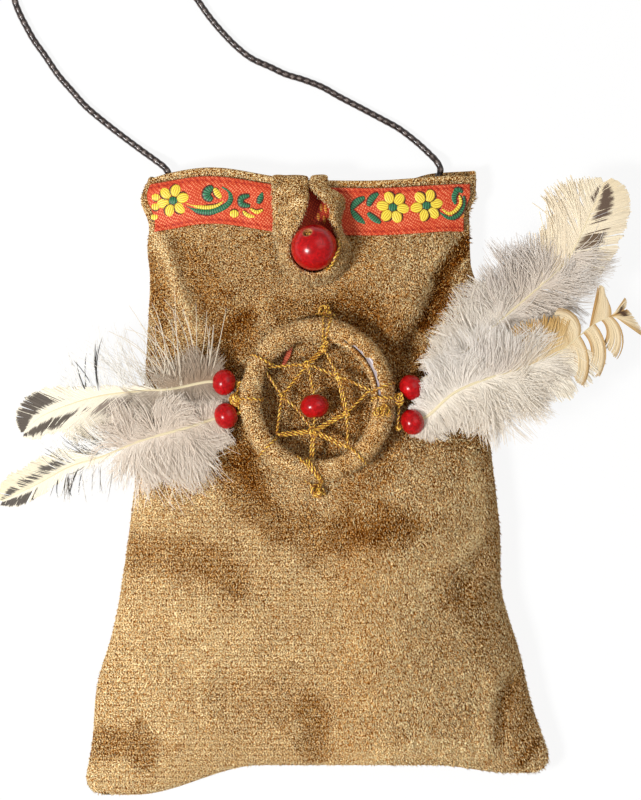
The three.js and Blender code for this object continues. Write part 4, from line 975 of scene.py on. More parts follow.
def bead(name, centre, axis, diameter, length, bore, stands_for, segments=56, rows=30):
    """A ball cut square by its bore: the outline is an ellipse from one end of the bore to the other,
    rounded over at the ends and closed along the bore, then turned about the axis."""
    reach = np.arccos(bore / diameter)
    angle = np.linspace(-reach, reach, rows)
    outside = np.column_stack([diameter / 2 * np.cos(angle),
                               length / 2 * np.sin(angle) / np.sin(reach)])
    lip = np.array([(bore / 2 - 0.12, length / 2 - 0.1), (bore / 2 - 0.16, length / 2 - 0.4)])
    outline = np.vstack([outside, lip, lip[::-1] * (1, -1)])
    lacquer = np.r_[smoothstep(reach - np.abs(angle), -0.04, 0.05), np.zeros(4)]
    turn = round_angles(segments)
    local = np.stack(np.broadcast_arrays(
        outline[None, :, 0] * np.cos(turn)[:, None], outline[None, :, 0] * np.sin(turn)[:, None],
        outline[None, :, 1]), axis=-1)
    points = local @ square_to(axis) + centre
    faces = [grid_quads(segments, len(outline), True, True)]
    return put_mesh(name, points, faces, lacquered_wood, tint=np.tile(lacquer, segments),
                    stands_for=stands_for)


def highest_under(x, y, reach):
    """Highest place of the front within a reach of a place in plan."""
    angle = round_angles(8)
    return front_height(np.r_[x, x + reach * np.cos(angle)], np.r_[y, y + reach * np.sin(angle)]).max()


# %% Button bead
BUTTON_DIAMETER = 14.7
BUTTON_BORE = 3.0
BUTTON_BELOW_RIM = 20.6
SEAT_GAP = 0.6  # what the pile keeps between the cloth and what lies on it
button_axis = unit(np.array([-0.29, 0.65, 0.7]))
rim_y = float(front_rim(np.array(0.0)))
button_y = rim_y - BUTTON_BELOW_RIM
button_seat = highest_under(0, button_y, BUTTON_BORE) + SEAT_GAP
button = np.array([0, button_y, button_seat + BUTTON_DIAMETER / 2])
bead("button_bead_turned", button, button_axis, BUTTON_DIAMETER,
     np.sqrt(BUTTON_DIAMETER**2 - BUTTON_BORE**2), BUTTON_BORE, ("button_bead",), 72, 44)

# %% [markdown]
# ## Closing loop
# A strip of plush, folded to a narrow band, comes out of the mouth on the left, goes round under the
# bead and back in on the right. Its left arm lies flat and its right arm stands on edge. A section
# with its own width and lean at each station, carried through all stations, makes it in one piece.

# %% Stations of the loop
LOOP_THICKNESS = 1.8
loop_half = LOOP_THICKNESS / 2
inner_floor = CLOTH_THICKNESS + 0.3 + loop_half
rim_top = float(front_point(np.array(0.0), np.array(1.0))[2])
COLLAR_LEAN, ARM_LEAN = np.radians(64), np.radians(82)
COLLAR_WIDTH, ARM_WIDTH, FLAT_WIDTH = 6.6, 7.0, 11.6
collar = BUTTON_DIAMETER / 2 + 0.9 + COLLAR_WIDTH / 2 * np.cos(COLLAR_LEAN)


def over_rim(x, width, lean):
    """Stations from the sewn tail inside the mouth up and over the rim: x, y, z, width, lean."""
    return [
        (x, rim_y - 13, inner_floor, width, 0), (x, rim_y - 6.5, inner_floor, width, 0),
        (x, rim_y - 0.6, inner_floor + 0.8, width, 0),
        (x, rim_y + 1.6, inner_floor + 0.55 * (rim_top - inner_floor), width, 0.2 * lean),
        (x, rim_y + 1.7, rim_top + 0.6, width, 0.4 * lean),
        (x, rim_y - 0.8, rim_top + 2.1 + width / 2 * np.sin(0.6 * lean), width, 0.6 * lean),
    ]


def on_collar(angle):
    """A station round the bead; its height follows from the front below it."""
    return (button[0] + collar * np.cos(angle), button[1] + collar * np.sin(angle), np.nan, COLLAR_WIDTH,
            COLLAR_LEAN)


def below(share):
    """Place between the rim (0) and the bead's middle (1)."""
    return rim_y + (button[1] - rim_y) * share


# %% Route of the loop
SEWN = len(over_rim(0, 0, 0))  # stations of each end, from its tail to the rim
loop_stations = np.array([
    *over_rim(-7.7, FLAT_WIDTH, np.radians(8)),
    (-7.7, below(0.23), np.nan, FLAT_WIDTH + 0.6, np.radians(22)),
    (-8.4, below(0.51), np.nan, 11, np.radians(34)),
    (button[0] - collar, below(0.787), np.nan, 8.6, np.radians(46)),
    *[on_collar(np.radians(angle)) for angle in range(180, 361, 30)],
    (8.0, below(0.764), np.nan, COLLAR_WIDTH, ARM_LEAN),
    (6.8, below(0.54), np.nan, ARM_WIDTH, np.radians(72)),
    (7.4, below(0.3), np.nan, 7.6, np.radians(50)),
    *over_rim(1.6, 5.6, np.radians(40))[::-1],
])

# %% Rest of the loop on the front
place, width, lean = loop_stations[:, :3].copy(), loop_stations[:, 3], loop_stations[:, 4]
heading = np.gradient(place[:, :2], axis=0)
level_out = unit(np.column_stack([heading[:, 1], -heading[:, 0], np.zeros(len(place))]))
level_out[:SEWN] = (-1, 0, 0)
level_out[-SEWN:] = (1, 0, 0)
reach = np.linspace(-0.5, 0.5, 5)[None] * (width * np.cos(lean))[:, None]
under_x = place[:, :1] + reach * level_out[:, :1]
under_y = place[:, 1:2] + reach * level_out[:, 1:2]
on_ribbon = rim_y - under_y < RIBBON_BELOW_RIM + RIBBON_WIDTH + 1
covered_by = np.where(on_ribbon, RIBBON_GAP + RIBBON_THICKNESS, 0)
resting = ((front_height(under_x, under_y) + covered_by).max(axis=1) + SEAT_GAP
           + width / 2 * np.sin(lean) + loop_half * np.cos(lean))
place[:, 2] = np.where(np.isnan(place[:, 2]), resting, place[:, 2])
lean_across = level_out * np.cos(lean)[:, None] - np.array([0, 0, 1]) * np.sin(lean)[:, None]
print("loop rests up to", round(float(place[:, 2].max()), 1), "mm")


# %% Strip of the loop
def surface_normals(rings):
    """Outward directions of a closed tube of rings, from its two grid directions."""
    around = np.roll(rings, -1, axis=1) - np.roll(rings, 1, axis=1)
    normal = unit(np.cross(around, np.gradient(rings, axis=0)))
    outside = rings - rings.mean(axis=1, keepdims=True)
    return normal * np.sign(np.einsum("ijk,ijk->", normal, outside))


LOOP_SIDES = 26
PER_STATION = 7  # rings from one station to the next
swept = curve_through(np.column_stack([place, lean_across * 10, width / 2]), PER_STATION)
line, cross, half = swept[:, :3], unit(swept[:, 3:6]), swept[:, 6]
upward = unit(np.cross(cross, np.gradient(line, axis=0)))
angle = round_angles(LOOP_SIDES)
flat, thick = squarer(np.cos(angle), 0.55), squarer(np.sin(angle), 0.75)
loop_rings = (line[:, None] + cross[:, None] * (half[:, None] * flat)[..., None]
              + upward[:, None] * (loop_half * thick)[None, :, None])
loop_normal = surface_normals(loop_rings)
fluff = ripple(loop_rings[..., 0] + loop_rings[..., 2], loop_rings[..., 1], 6, 41)
loop_light = 0.5 + 0.05 * fluff
loop = put_mesh("closing_loop_strip", loop_rings + loop_normal * (0.08 * fluff)[..., None],
                tube_faces(len(line), LOOP_SIDES), brushed_plush, tint=loop_light.ravel(),
                stands_for=("closing_loop",))

# %% Pile of the loop
shown = slice(4 * PER_STATION, -4 * PER_STATION)  # without the ends inside the mouth
root, out_of = scatter(loop_rings[shown], loop_normal[shown], 6500, 42)
lean_to = np.array([0.1, -1.0, 0.0]) + 0.25 * np.random.default_rng(43).normal(size=root.shape)
light = 0.72 + 0.12 * np.random.default_rng(44).normal(size=len(root))
tufts("closing_loop_pile", root, unit(lean_to) + 0.45 * out_of, light, 1.1, 0.36, 45)

# %% [markdown]
# ## Hoop
# The hoop is a plastic ring with a strip of the same plush wrapped lengthwise round it. The strip's
# edges meet on the inside and gape a little on the right, where the milky plastic shows. A torus has no
# such slit, so the strip is rings of points that are open by a different angle at each place. The hoop
# lies on the slope of the front, so it is made flat and then tilted as the front is under it.

# %% Place of the hoop
HOOP_MIDDLE = np.array([1.1, 23.8])
CORE_RADIUS = 1.7
WRAP_INNER, WRAP_OUTER = 2.0, 3.4
HOOP_WIDE, HOOP_TALL = 49.2, 52.2  # over the wrap
HOOP_A, HOOP_B = HOOP_WIDE / 2 - WRAP_OUTER, HOOP_TALL / 2 - WRAP_OUTER
WEB_THREAD = 1.2
TURN_RADIUS = WRAP_OUTER + 0.3 + WEB_THREAD / 2


def hoop_rim(angle):
    """Middle line of the hoop in its own plane, an ellipse."""
    return np.stack([HOOP_A * np.cos(angle), HOOP_B * np.sin(angle), 0 * angle], axis=-1)


def hoop_out(angle):
    """Direction square to that ellipse, outwards."""
    return unit(np.stack([np.cos(angle) / HOOP_A, np.sin(angle) / HOOP_B, 0 * angle], axis=-1))


# %% Seat of the hoop
ends = front_height(np.full(2, HOOP_MIDDLE[0]), HOOP_MIDDLE[1] + HOOP_B * np.array([1, -1]))
hoop_tilt = np.arctan2(ends[0] - ends[1], 2 * HOOP_B)
rim_line = hoop_rim(np.linspace(0, 2 * np.pi, 49))
below_rim = front_height(HOOP_MIDDLE[0] + rim_line[:, 0],
                         HOOP_MIDDLE[1] + rim_line[:, 1] * np.cos(hoop_tilt))
hoop_seat = ((below_rim - rim_line[:, 1] * np.sin(hoop_tilt)).max()
             + (TURN_RADIUS + WEB_THREAD / 2 + 0.3) / np.cos(hoop_tilt))


def on_hoop(local):
    """Points of the hoop's own plane, tilted about X and moved to the hoop's place."""
    x, y, z = np.moveaxis(np.asarray(local, float), -1, 0)
    c, s = np.cos(hoop_tilt), np.sin(hoop_tilt)
    return np.stack([x + HOOP_MIDDLE[0], y * c - z * s + HOOP_MIDDLE[1], y * s + z * c + hoop_seat], axis=-1)


def in_plane(x, y, lift=0.0):
    """The point of the hoop's plane over a place in plan."""
    return np.array([x, y, hoop_seat + (y - HOOP_MIDDLE[1]) * np.tan(hoop_tilt) + lift])


print("hoop tilt", round(np.degrees(hoop_tilt), 1), "degrees, middle at", round(float(hoop_seat), 1), "mm")

# %% Milky plastic finish
# Extruded polythene tube: cloudy, soft highlights, some light goes through.
milky_plastic, tree, place = new_finish("milky_plastic")
cloud = add(tree, "TexNoise", {"Vector": place, "Scale": 1 / (3.5 * MM), "Detail": 3.0})
shade = add(tree, "ValToRGB", {"Fac": cloud},
            stops=[(0.3, "#a5979b"), (0.6, "#d6ccd1"), (0.85, "#f1ecef")])
skin = add(tree, "BsdfPrincipled", {
    "Base Color": shade, "Roughness": 0.28, "IOR": 1.5, "Transmission Weight": 0.25,
    "Coat Weight": 0.2})
add(tree, "OutputMaterial", {"Surface": skin})

# %% Wrap and core
HOOP_RINGS = 260
WRAP_SIDES, CORE_SIDES = 22, 14

turn = round_angles(HOOP_RINGS)
rim, outward = hoop_rim(turn), hoop_out(turn)
gape = bump(np.angle(np.exp(1j * (turn - np.radians(25)))), 0, 0.85)
slit_turn = 0.8 * gape  # radians that the slit is turned up from the inside
slit_half = 0.30 + gape * (0.26 + 0.12 * ripple(rim[:, 0], rim[:, 1], 4, 57))


def wrap_arc(radius, sides):
    """Points round the hoop's middle line, from one edge of the strip to the other."""
    angle = (-np.pi + slit_half[:, None]) + np.linspace(0, 1, sides) * 2 * (np.pi - slit_half[:, None])
    angle = angle - slit_turn[:, None]
    level, up = radius * np.cos(angle), radius * np.sin(angle)
    return rim[:, None] + level[..., None] * outward[:, None] + up[..., None] * np.array([0, 0, 1])


lumps = 0.16 * ripple(rim[:, 0], rim[:, 1], 16, 51)[:, None]
wrap_outside = wrap_arc(WRAP_OUTER - 0.1 + lumps, WRAP_SIDES)
wrap_rings = on_hoop(np.concatenate([wrap_outside, wrap_arc(WRAP_INNER, WRAP_SIDES)[:, ::-1]], axis=1))
wrap_light = 0.55 + 0.05 * ripple(wrap_rings[..., 0], wrap_rings[..., 1], 7, 52)
wrap = put_mesh("hoop_wrap_strip", wrap_rings, [grid_quads(HOOP_RINGS, 2 * WRAP_SIDES, True, True)],
                brushed_plush, tint=wrap_light.ravel(), stands_for=("hoop_wrap",))
core = carried(rim, round_section(CORE_RADIUS, CORE_SIDES), closed=True)
put_mesh("hoop_tube", on_hoop(core), tube_faces(HOOP_RINGS, CORE_SIDES, True), milky_plastic,
         stands_for=("hoop_core",))

# %% Pile of the wrap
outside = wrap_rings[:, :WRAP_SIDES]
outside_normal = unit(outside - on_hoop(rim)[:, None])
root, out_of = scatter(np.concatenate([outside, outside[:1]]),
                       np.concatenate([outside_normal, outside_normal[:1]]), 11000, 53)
draw = np.random.default_rng(54)
lean = draw.normal(size=root.shape) * 0.5 + (0.2, -0.7, 0) + 0.75 * out_of
light = 0.74 + 0.05 * ripple(root[:, 0], root[:, 1], 8, 56) + 0.1 * draw.normal(size=len(root))
tufts("hoop_wrap_pile", root, lean, light, 0.8, 0.34, 55)

# %% [markdown]
# ## Thread web
# Gold thread of two twisted plies is wound over the hoop in six places and knotted where it crosses.
# The twist matters: it makes the light and dark slants along every thread. A curve with a round bevel
# would be smooth, so each thread is a tube whose section is two plies side by side, turning as it runs,
# and its crowns carry a painted sheen, with painted shade between them.

# %% Gold thread finish
# Mercerised cotton: a painted sheen on the crowns of the plies, painted brown shade between them.
gold_thread, tree, place = new_finish("gold_thread")
# The tint is high on the plies' crowns: painted sheen there, painted shade between them.
crown = add(tree, "Attribute", attribute_name="tint")
fibre = add(tree, "TexNoise", {"Vector": place, "Scale": 1 / (0.5 * MM), "Detail": 3.0})
loose_plies = add(tree, "MapRange", {"Value": fibre, "From Min": 0.35, "From Max": 0.65,
                                     "To Min": 0.15, "To Max": 0.85})
mixed = add(tree, "Math", {0: crown.outputs["Fac"], 1: loose_plies}, operation="MULTIPLY")
shade = add(tree, "ValToRGB", {"Fac": mixed},
            stops=[(0.04, "#5a2c04"), (0.22, "#a9680f"), (0.38, "#dba020"), (0.58, "#ffe06a")])
skin = add(tree, "BsdfPrincipled", {
    "Base Color": shade, "Roughness": 0.36, "IOR": 1.5, "Sheen Weight": 0.1})
add(tree, "OutputMaterial", {"Surface": skin})

# %% Twisted threads
THREAD_STATIONS = 72
THREAD_SIDES = 10
TWIST = 1.7  # mm for a ply to come round to the other's place


def threads(name, routes, diameter, stands_for):
    """Two-ply threads along routes of (points, up): the radius follows two lobes that turn with the
    distance along the thread."""
    rings, tint = [], []
    around = round_angles(THREAD_SIDES)
    for route, up in routes:
        path = spaced(np.asarray(route, float), THREAD_STATIONS)
        lobe = np.cos(2 * around[None] - 2 * np.pi * lengths_along(path)[:, None] / TWIST)
        rings.append(carried(path, round_section(diameter / 2 * (0.84 + 0.16 * lobe), THREAD_SIDES), up))
        # Paler on the plies' crowns, darker between them: painted sheen and painted shade.
        tint.append(0.52 + 0.48 * lobe)
    faces = repeated(tube_faces(THREAD_STATIONS, THREAD_SIDES), len(rings), THREAD_STATIONS * THREAD_SIDES)
    return put_mesh(name, np.array(rings), faces, gold_thread, tint=np.ravel(tint),
                    stands_for=stands_for)


# %% Routes of thread
UPWARD = (0.02, 0.03, 1.0)  # a little askew, so that it is never along a thread


def strung(start, end, sag=0.25, aside=0.0):
    """A thread from place to place: straight, with a slight bow and a shift to one side."""
    t = np.linspace(0, 1, 24)[:, None]
    side = unit(np.array([start[1] - end[1], end[0] - start[0], 0.0]))
    bow = 4 * t * (1 - t)
    shift = side * aside * np.minimum(1, 6 * t * (1 - t))
    return start + (end - start) * t + shift + np.array([0, 0, -sag]) * bow, UPWARD


def wound(angle, towards, turns=1, spread=0.62):
    """Turns round the hoop: an ellipse across the wrap in the direction given, which steps sideways."""
    angle = np.radians(angle)
    across = unit(np.array([*towards, 0.0]))
    outward = hoop_out(angle)
    tight = WRAP_OUTER + 0.3  # the thread sinks into the soft wrap
    long = tight / max(0.6, abs(across @ outward))
    along = np.cross([0, 0, 1.0], across)
    t = np.linspace(0, turns, 40 * turns)[:, None]
    phase = 2 * np.pi * t + np.pi
    local = (hoop_rim(angle) + across * long * np.cos(phase) + np.array([0, 0, 1]) * tight * np.sin(phase)
             + along * spread * (t - turns / 2))
    return on_hoop(local), along + (0, 0, 0.01)


def knotted(place, radius, seed, loops=3):
    """A small wound knot: a curve that runs round a ring while it winds through it."""
    draw = np.random.default_rng(seed)
    t = np.linspace(0, 2 * np.pi, 72)
    ring = radius * (0.62 + 0.38 * np.cos((2 * loops + 1) * t / 2))
    local = np.stack([ring * np.cos(loops * t), ring * np.sin(loops * t),
                      0.55 * radius * np.sin((2 * loops + 1) * t / 2)], axis=-1)
    return local @ square_to(draw.normal(size=3) * 0.4 + (0, 0, 1)) + place, (0.35, 0.2, 0.92)


# %% Web
WEB = {  # crossings in plan
    "top": (4.1, 42.6), "fork": (3.2, 39.9), "high": (-2.0, 35.0), "right": (7.7, 31.2),
    "left_high": (-16.2, 33.9), "left": (-10.2, 24.9), "right_turn": (17.9, 26.8), "low": (10.4, 19.5),
    "bottom": (-0.1, 13.7), "right_low": (10.8, 8.5), "bottom_turn": (-0.9, 2.6), "left_low": (-11.9, 12.5),
    "bead_top": (0.0, 25.6), "bead_foot": (0.2, 17.6), "beside_bead": (-5.9, 21.3),
}
WEB_AT = {name: in_plane(*place) for name, place in WEB.items()}
SINGLE = [("fork", "right"), ("high", "right"), ("high", "left"), ("right", "right_turn"),
          ("right_turn", "low"), ("left_high", "left"), ("left", "left_low"), ("left", "beside_bead"),
          ("beside_bead", "bottom"), ("low", "right_low"), ("high", "bead_top"), ("bead_foot", "bottom"),
          ("high", "left_high")]
DOUBLE = [("top", "fork"), ("fork", "high"), ("right", "low"), ("low", "bottom"), ("bottom", "left_low"),
          ("bottom", "right_low"), ("bottom", "bottom_turn")]
KNOTS = ("high", "right", "low", "left", "fork")
TURNS = [  # degrees round the hoop, and the direction in which the thread crosses it
    (80, (0.25, 1)), (9, (1, 0.42)), (-53, (0.72, -0.7)), (-97, (0.7, -0.72)), (222, (-0.68, -0.72)),
    (146, (-0.9, 0.46))]
WEB_TIGHT = 0.76  # share of its thickness that the thread keeps when it is pulled

web = [strung(WEB_AT[a], WEB_AT[b]) for a, b in SINGLE]
for a, b in DOUBLE:
    web += [strung(WEB_AT[a], WEB_AT[b], aside=shift) for shift in (-0.4, 0.4)]
web.append(strung(WEB_AT["bead_top"], WEB_AT["bead_foot"], sag=0))
web += [wound(angle, towards) for angle, towards in TURNS]
web += [knotted(WEB_AT[name], 0.95, 60 + i) for i, name in enumerate(KNOTS)]
web.append(knotted(WEB_AT["bottom"], 1.35, 70))
threads("web_threads", web, WEB_TIGHT * WEB_THREAD, ("web_thread",))

WEB_BEAD_DIAMETER, WEB_BEAD_LENGTH, WEB_BEAD_BORE = 9.1, 7.4, 2.8
web_bead = on_hoop((-0.0425 * HOOP_A, -0.097 * HOOP_B, 0))
bead("web_bead_turned", web_bead, WEB_AT["high"] - WEB_AT["bottom"], WEB_BEAD_DIAMETER, WEB_BEAD_LENGTH,
     WEB_BEAD_BORE, ("web_bead",))

# %% [markdown]
# ## Stitches and ties
# The hoop is sewn to the front at its top and foot with loose, crossing stitches that end in a knot.
# At both sides a thread goes round the hoop, is knotted, and its two legs hold two small beads.
# Each bead takes the quill of a feather from the other side. The thread is the web's, so the same
# function makes it, and only the routes are new.

# %% Side beads
SIDE_BEAD_DIAMETER, SIDE_BEAD_LENGTH, SIDE_BEAD_BORE = 8.4, 7.2, 2.4
SIDE_BEAD_GAP = 0.3  # over the cloth
SIDES = {  # side of the hoop, gap to it, height over its middle, heading of the bore
    "left_upper": (-1, 0.9, 5.4, (-1, 0.04)), "left_lower": (-1, 0.3, -5.2, (-0.95, -0.26)),
    "right_upper": (1, 1.1, 3.8, (0.82, 0.57)), "right_lower": (1, 1.4, -7.2, (0.93, 0.36)),
}
side_centre, side_axis = {}, {}
for name, (sign, gap, up, heading) in SIDES.items():
    x = HOOP_MIDDLE[0] + sign * (HOOP_A + WRAP_OUTER + gap + SIDE_BEAD_DIAMETER / 2)
    y = HOOP_MIDDLE[1] + up
    seat = highest_under(x, y, SIDE_BEAD_DIAMETER * 0.3)
    side_centre[name] = np.array([x, y, seat + SIDE_BEAD_GAP + SIDE_BEAD_DIAMETER / 2])
    side_axis[name] = unit(np.array([*heading, 0.0]))
    bead("side_bead_turned_" + name, side_centre[name], side_axis[name], SIDE_BEAD_DIAMETER, SIDE_BEAD_LENGTH,
         SIDE_BEAD_BORE, ("side_bead_" + name,))

# %% Ties
TIE_THREAD = 1.0


def tie(name, angle, upper, lower, seed):
    """A turn round the hoop, a big knot outside it, and a leg into each of two beads."""
    outward = hoop_out(np.radians(angle))
    middle = on_hoop(hoop_rim(np.radians(angle)) + outward * (WRAP_OUTER + 1.3))
    routes = [wound(angle, outward[:2], 1, 0.9), knotted(middle, 1.9, seed, 4),
              knotted(middle + (0.3, 0.7, 0.6), 1.2, seed + 1), knotted(middle - (0, 0.9, 0), 1.1, seed + 2)]
    for side in (upper, lower):
        mouth = side_centre[side] - side_axis[side] * (SIDE_BEAD_LENGTH / 2 + 1.1)
        inside = side_centre[side] - side_axis[side] * SIDE_BEAD_LENGTH / 4
        leg = curve_through(np.array([middle, (middle + mouth) / 2 + (0, 0, 0.5), mouth, inside]))
        routes += [(leg, UPWARD), knotted(mouth, 0.75, seed + 4)]
    threads(name, routes, TIE_THREAD, (name.removesuffix("_wound"),))


tie("left_tie_wound", 180, "left_upper", "left_lower", 81)
tie("right_tie_wound", 0, "right_upper", "right_lower", 91)


# %% Stitches of the hoop
STITCH_TIGHT = 0.66  # these are pulled tighter than the web


def sewn(name, angle, spread, seed, tail, across=0.0):
    """Stitches over the wrap: arches that fan out, a knot where they end, and a short tail. They cross
    the wrap aslant by the distance across."""
    draw = np.random.default_rng(seed)
    routes = []
    for shift in spread:
        at = np.radians(angle + shift)
        lift = np.radians(np.linspace(-25, 205, 30))[:, None]
        slant = np.array([across + 0.3 * draw.normal(), 0, 0]) * np.cos(lift)
        arch = on_hoop(hoop_rim(at) + hoop_out(at) * (WRAP_OUTER + 0.5) * np.cos(lift)
                       + np.array([0, 0, 1]) * (WRAP_OUTER + 0.5) * np.sin(lift) + slant)
        feet = arch[[0, -1]].copy()
        feet[:, 2] = front_height(feet[:, 0], feet[:, 1]) + 0.3
        routes.append((np.vstack([feet[:1], arch, feet[1:]]), (1, 0.02, 0.05)))
    end = np.array([*tail[-1], 0])
    end[2] = front_height(end[0], end[1]) + 1.2
    route = np.array([(x, y, float(front_height(x, y)) + 1.1) for x, y in tail])
    routes += [(curve_through(route), UPWARD), knotted(end + (0, 0, 0.6), 2.1, seed, 3),
               knotted(end + (0.8, -0.7, 1.0), 1.5, seed + 1)]
    threads(name, routes, WEB_THREAD * STITCH_TIGHT, (name.removesuffix("_sewn"),))


sewn("hoop_stitch_top_sewn", 84, (1.0,), 101, [(0.4, 50.6), (3.4, 52.6), (6.6, 50.4), (3.6, 51.8)])
sewn("hoop_stitch_bottom_sewn", -93, (-1.4, 1.0), 111, [(-3.4, -1.6), (3.6, -6.4), (1.2, -5.2)], 3.0)

# %% Loose ends
# The web's thread ends in a tangle on the right of the wrap, and a few strands of the button's thread
# lie over the right side of its bead.
FRAYED = 0.6  # share of the thread's thickness that an end keeps
BUTTON_THREAD = 0.9
tangle = on_hoop(hoop_rim(np.radians(-11)) + (-0.6, 0, WRAP_OUTER + 0.5))
loops = [((0, 0, 0), 1.6, 121), ((1.1, 0.9, 0), 1.3, 122), ((-1.2, -0.5, 0.2), 1.2, 123),
         ((2.2, -0.4, -0.3), 1.1, 124)]
threads("web_tangle", [knotted(tangle + place, radius, seed, 4) for place, radius, seed in loops],
        FRAYED * WEB_THREAD, ())
t = np.linspace(0, 1, 24)
strands_over = []
for radius, start, end, rise in ((8.0, 26, -58, 22), (8.1, 16, -66, 36)):
    azimuth, height = np.radians(start + (end - start) * t), np.radians(rise * np.sin(np.pi * t) - 14)
    local = [np.cos(height) * np.cos(azimuth), np.cos(height) * np.sin(azimuth), np.sin(height)]
    strands_over.append((button + radius * np.stack(local, axis=-1), UPWARD))
threads("button_thread", strands_over, BUTTON_THREAD, ())

# %% [markdown]
# ## Feathers
# Four body feathers of a hen hang from the side beads. A feather is a shaft with barbs: near the quill
# they are loose and downy, further out they lie beside each other as a vane, with dark marks that cross
# the barbs. A cut-out card would have none of that, so every barb is a strand of its own: thin, with a
# three-cornered section, narrowing to its tip, and coloured by where it starts and how far out it is.

# %% Feather finish
# Keratin: matt with a slight gloss, thin enough to let a little light through.
feather_barbs, tree, _ = new_finish("feather_barbs")
own = add(tree, "Attribute", attribute_name="tint")
skin = add(tree, "BsdfPrincipled", {"Base Color": own, "Roughness": 0.6, "IOR": 1.54,
                                    "Sheen Weight": 0.15, "Specular IOR Level": 0.25})
through = add(tree, "BsdfTranslucent", {"Color": own})
both = add(tree, "MixShader", {0: 0.12, 1: skin, 2: through})
add(tree, "OutputMaterial", {"Surface": both})

# %% Strands
def strands(path, width, facing):
    """Three-cornered strips along many paths (strand, station, xyz): flat towards the facing and a
    quarter as thick as they are wide."""
    along = np.gradient(path, axis=1)
    side = unit(np.cross(facing, along)) * width[..., None] / 2
    lift = unit(np.cross(along, side)) * width[..., None] / 4
    ring = np.stack([path - side, path + side, path + lift], axis=2)
    count, stations = path.shape[:2]
    return ring.reshape(-1, 3), repeated(tube_faces(stations, 3), count, stations * 3)


def stops_at(stops, t):
    """Linear colour between (place, hex) stops, for whole arrays of places."""
    places = [place for place, _ in stops]
    colours = np.array([linear(code) for _, code in stops])
    return np.stack([np.interp(t, places, column) for column in colours.T], axis=-1)


def smooth_list(values, t):
    """A list of values at even steps, joined smoothly."""
    values = np.atleast_1d(values)
    if len(values) == 1:
        return np.full(np.shape(t), float(values[0]))
    curve = curve_through(np.column_stack([np.linspace(0, 10, len(values)), values]))
    return np.interp(t, curve[:, 0] / 10, curve[:, 1])


# %% Shafts
SHAFT_STATIONS, SHAFT_SIDES = 120, 8
SHAFT_SHARE = np.linspace(0, 1, SHAFT_STATIONS)
QUILL_RADIUS = 0.55


def shaft_of(side, points, roll):
    """The shaft of a feather, and a function that gives its place, heading, sideways and upward
    direction at shares of its length. It leaves its bead along the bore, then follows the points."""
    centre, axis = side_centre[side], side_axis[side]
    start = [centre + axis * SIDE_BEAD_LENGTH / 4, centre + axis * (SIDE_BEAD_LENGTH / 2 + 1.5)]
    line = curve_through(np.vstack([start, np.array(points) + (0, 0, centre[2])]))
    line = spaced(line, SHAFT_STATIONS)
    heading = unit(np.gradient(line, axis=0))
    level = unit(np.cross((0, 0, 1), heading))
    rolled = (roll * smoothstep(SHAFT_SHARE, 0.05, 0.3))[:, None]
    level = level * np.cos(rolled) + np.cross(heading, level) * np.sin(rolled)
    table = np.hstack([line, heading, level, np.cross(heading, level)])

    def at(t):
        row = np.stack([np.interp(t, SHAFT_SHARE, column) for column in table.T], axis=-1)
        return np.split(row, 4, axis=-1)

    return line, at


# %% Barbs
LOCK = 22  # barbs that cling together at their tips


def barbs(at, draw, side, span, count, length, angle, stops, bend=0, loose=0.02, wide=0.5, taper=0.3,
          rise=0.01, stations=14, marks=(), tips=None, gather=0.0):
    """A tract of barbs on one side of a shaft: paths, widths, facing and colours.

    Each barb starts at its share of the shaft and leaves it at an angle that grows by the bend up to the
    tip, so its places are running sums of short steps. Lengths, angles and stops run along the tract.
    loose is how far lengths and angles stray, in locks of neighbours and each barb for itself. Where
    barbs gather, each bends that share of the way to the middle one of its lock, most at the tip."""
    t = np.sort(draw.uniform(*span, count))[:, None]
    s = np.linspace(0, 1, stations)[None]
    along = (t - span[0]) / (span[1] - span[0])
    lock, swirl = (ripple(70 * t, 0 * t, 2.6, draw.integers(1000)) for _ in range(2))
    own = draw.normal(size=(4, *t.shape))
    far = smooth_list(length, along) * np.clip(1 + loose * (0.5 * lock + 0.8 * own[0]), 0.3, 1.6)
    turn = np.radians(smooth_list(angle, along) + loose * (60 * lock + 60 * own[1])
                      + (smooth_list(bend, along) + loose * (110 * swirl + 110 * own[2])) * s)
    step = far / (stations - 1) * (s > 0)
    ahead, aside = np.cumsum(np.cos(turn) * step, axis=1), np.cumsum(np.sin(turn) * step, axis=1)
    up = far * s * (0.12 * (1 - s) + rise * own[3])
    place, heading, level, above = at(t)
    path = place + heading * ahead[..., None] + side * level * aside[..., None] + above * up[..., None]
    middle = np.minimum(np.arange(count) // LOCK * LOCK + LOCK // 2, count - 1)
    path = path + gather * (s**1.4)[..., None] * (path[middle] - path)
    width = wide * (1 - taper * s**2) * draw.uniform(0.85, 1.15, t.shape)
    return path, width, above, barb_colours(draw, along + 0 * s, s + 0 * along, stops, marks, tips)


def barb_colours(draw, along, s, stops, marks, tips):
    """Colours of a tract: its stops, a fade to the tips, and marks with ragged edges. A mark is
    (from, to, inner, outer, hex, share of the barbs)."""
    shade = stops_at(stops, along) * (1 + 0.04 * draw.normal(size=(len(s), 1)))[..., None]
    if tips:
        shade = shade + (linear(tips) - shade) * (s**1.5)[..., None]
    for start, end, inner, outer, code, share in marks:
        ragged = 0.03 * draw.normal(size=(len(s), 1))
        chosen = draw.uniform(size=(len(s), 1)) < share
        across = (smoothstep(s + ragged, inner - 0.04, inner + 0.04)
                  * (1 - smoothstep(s + ragged, outer - 0.04, outer + 0.04)))
        inside = ((along + ragged > start) & (along + ragged < end) & chosen) * across
        shade = shade + (linear(code) - shade) * inside[..., None]
    return np.clip(shade, 0, 1)


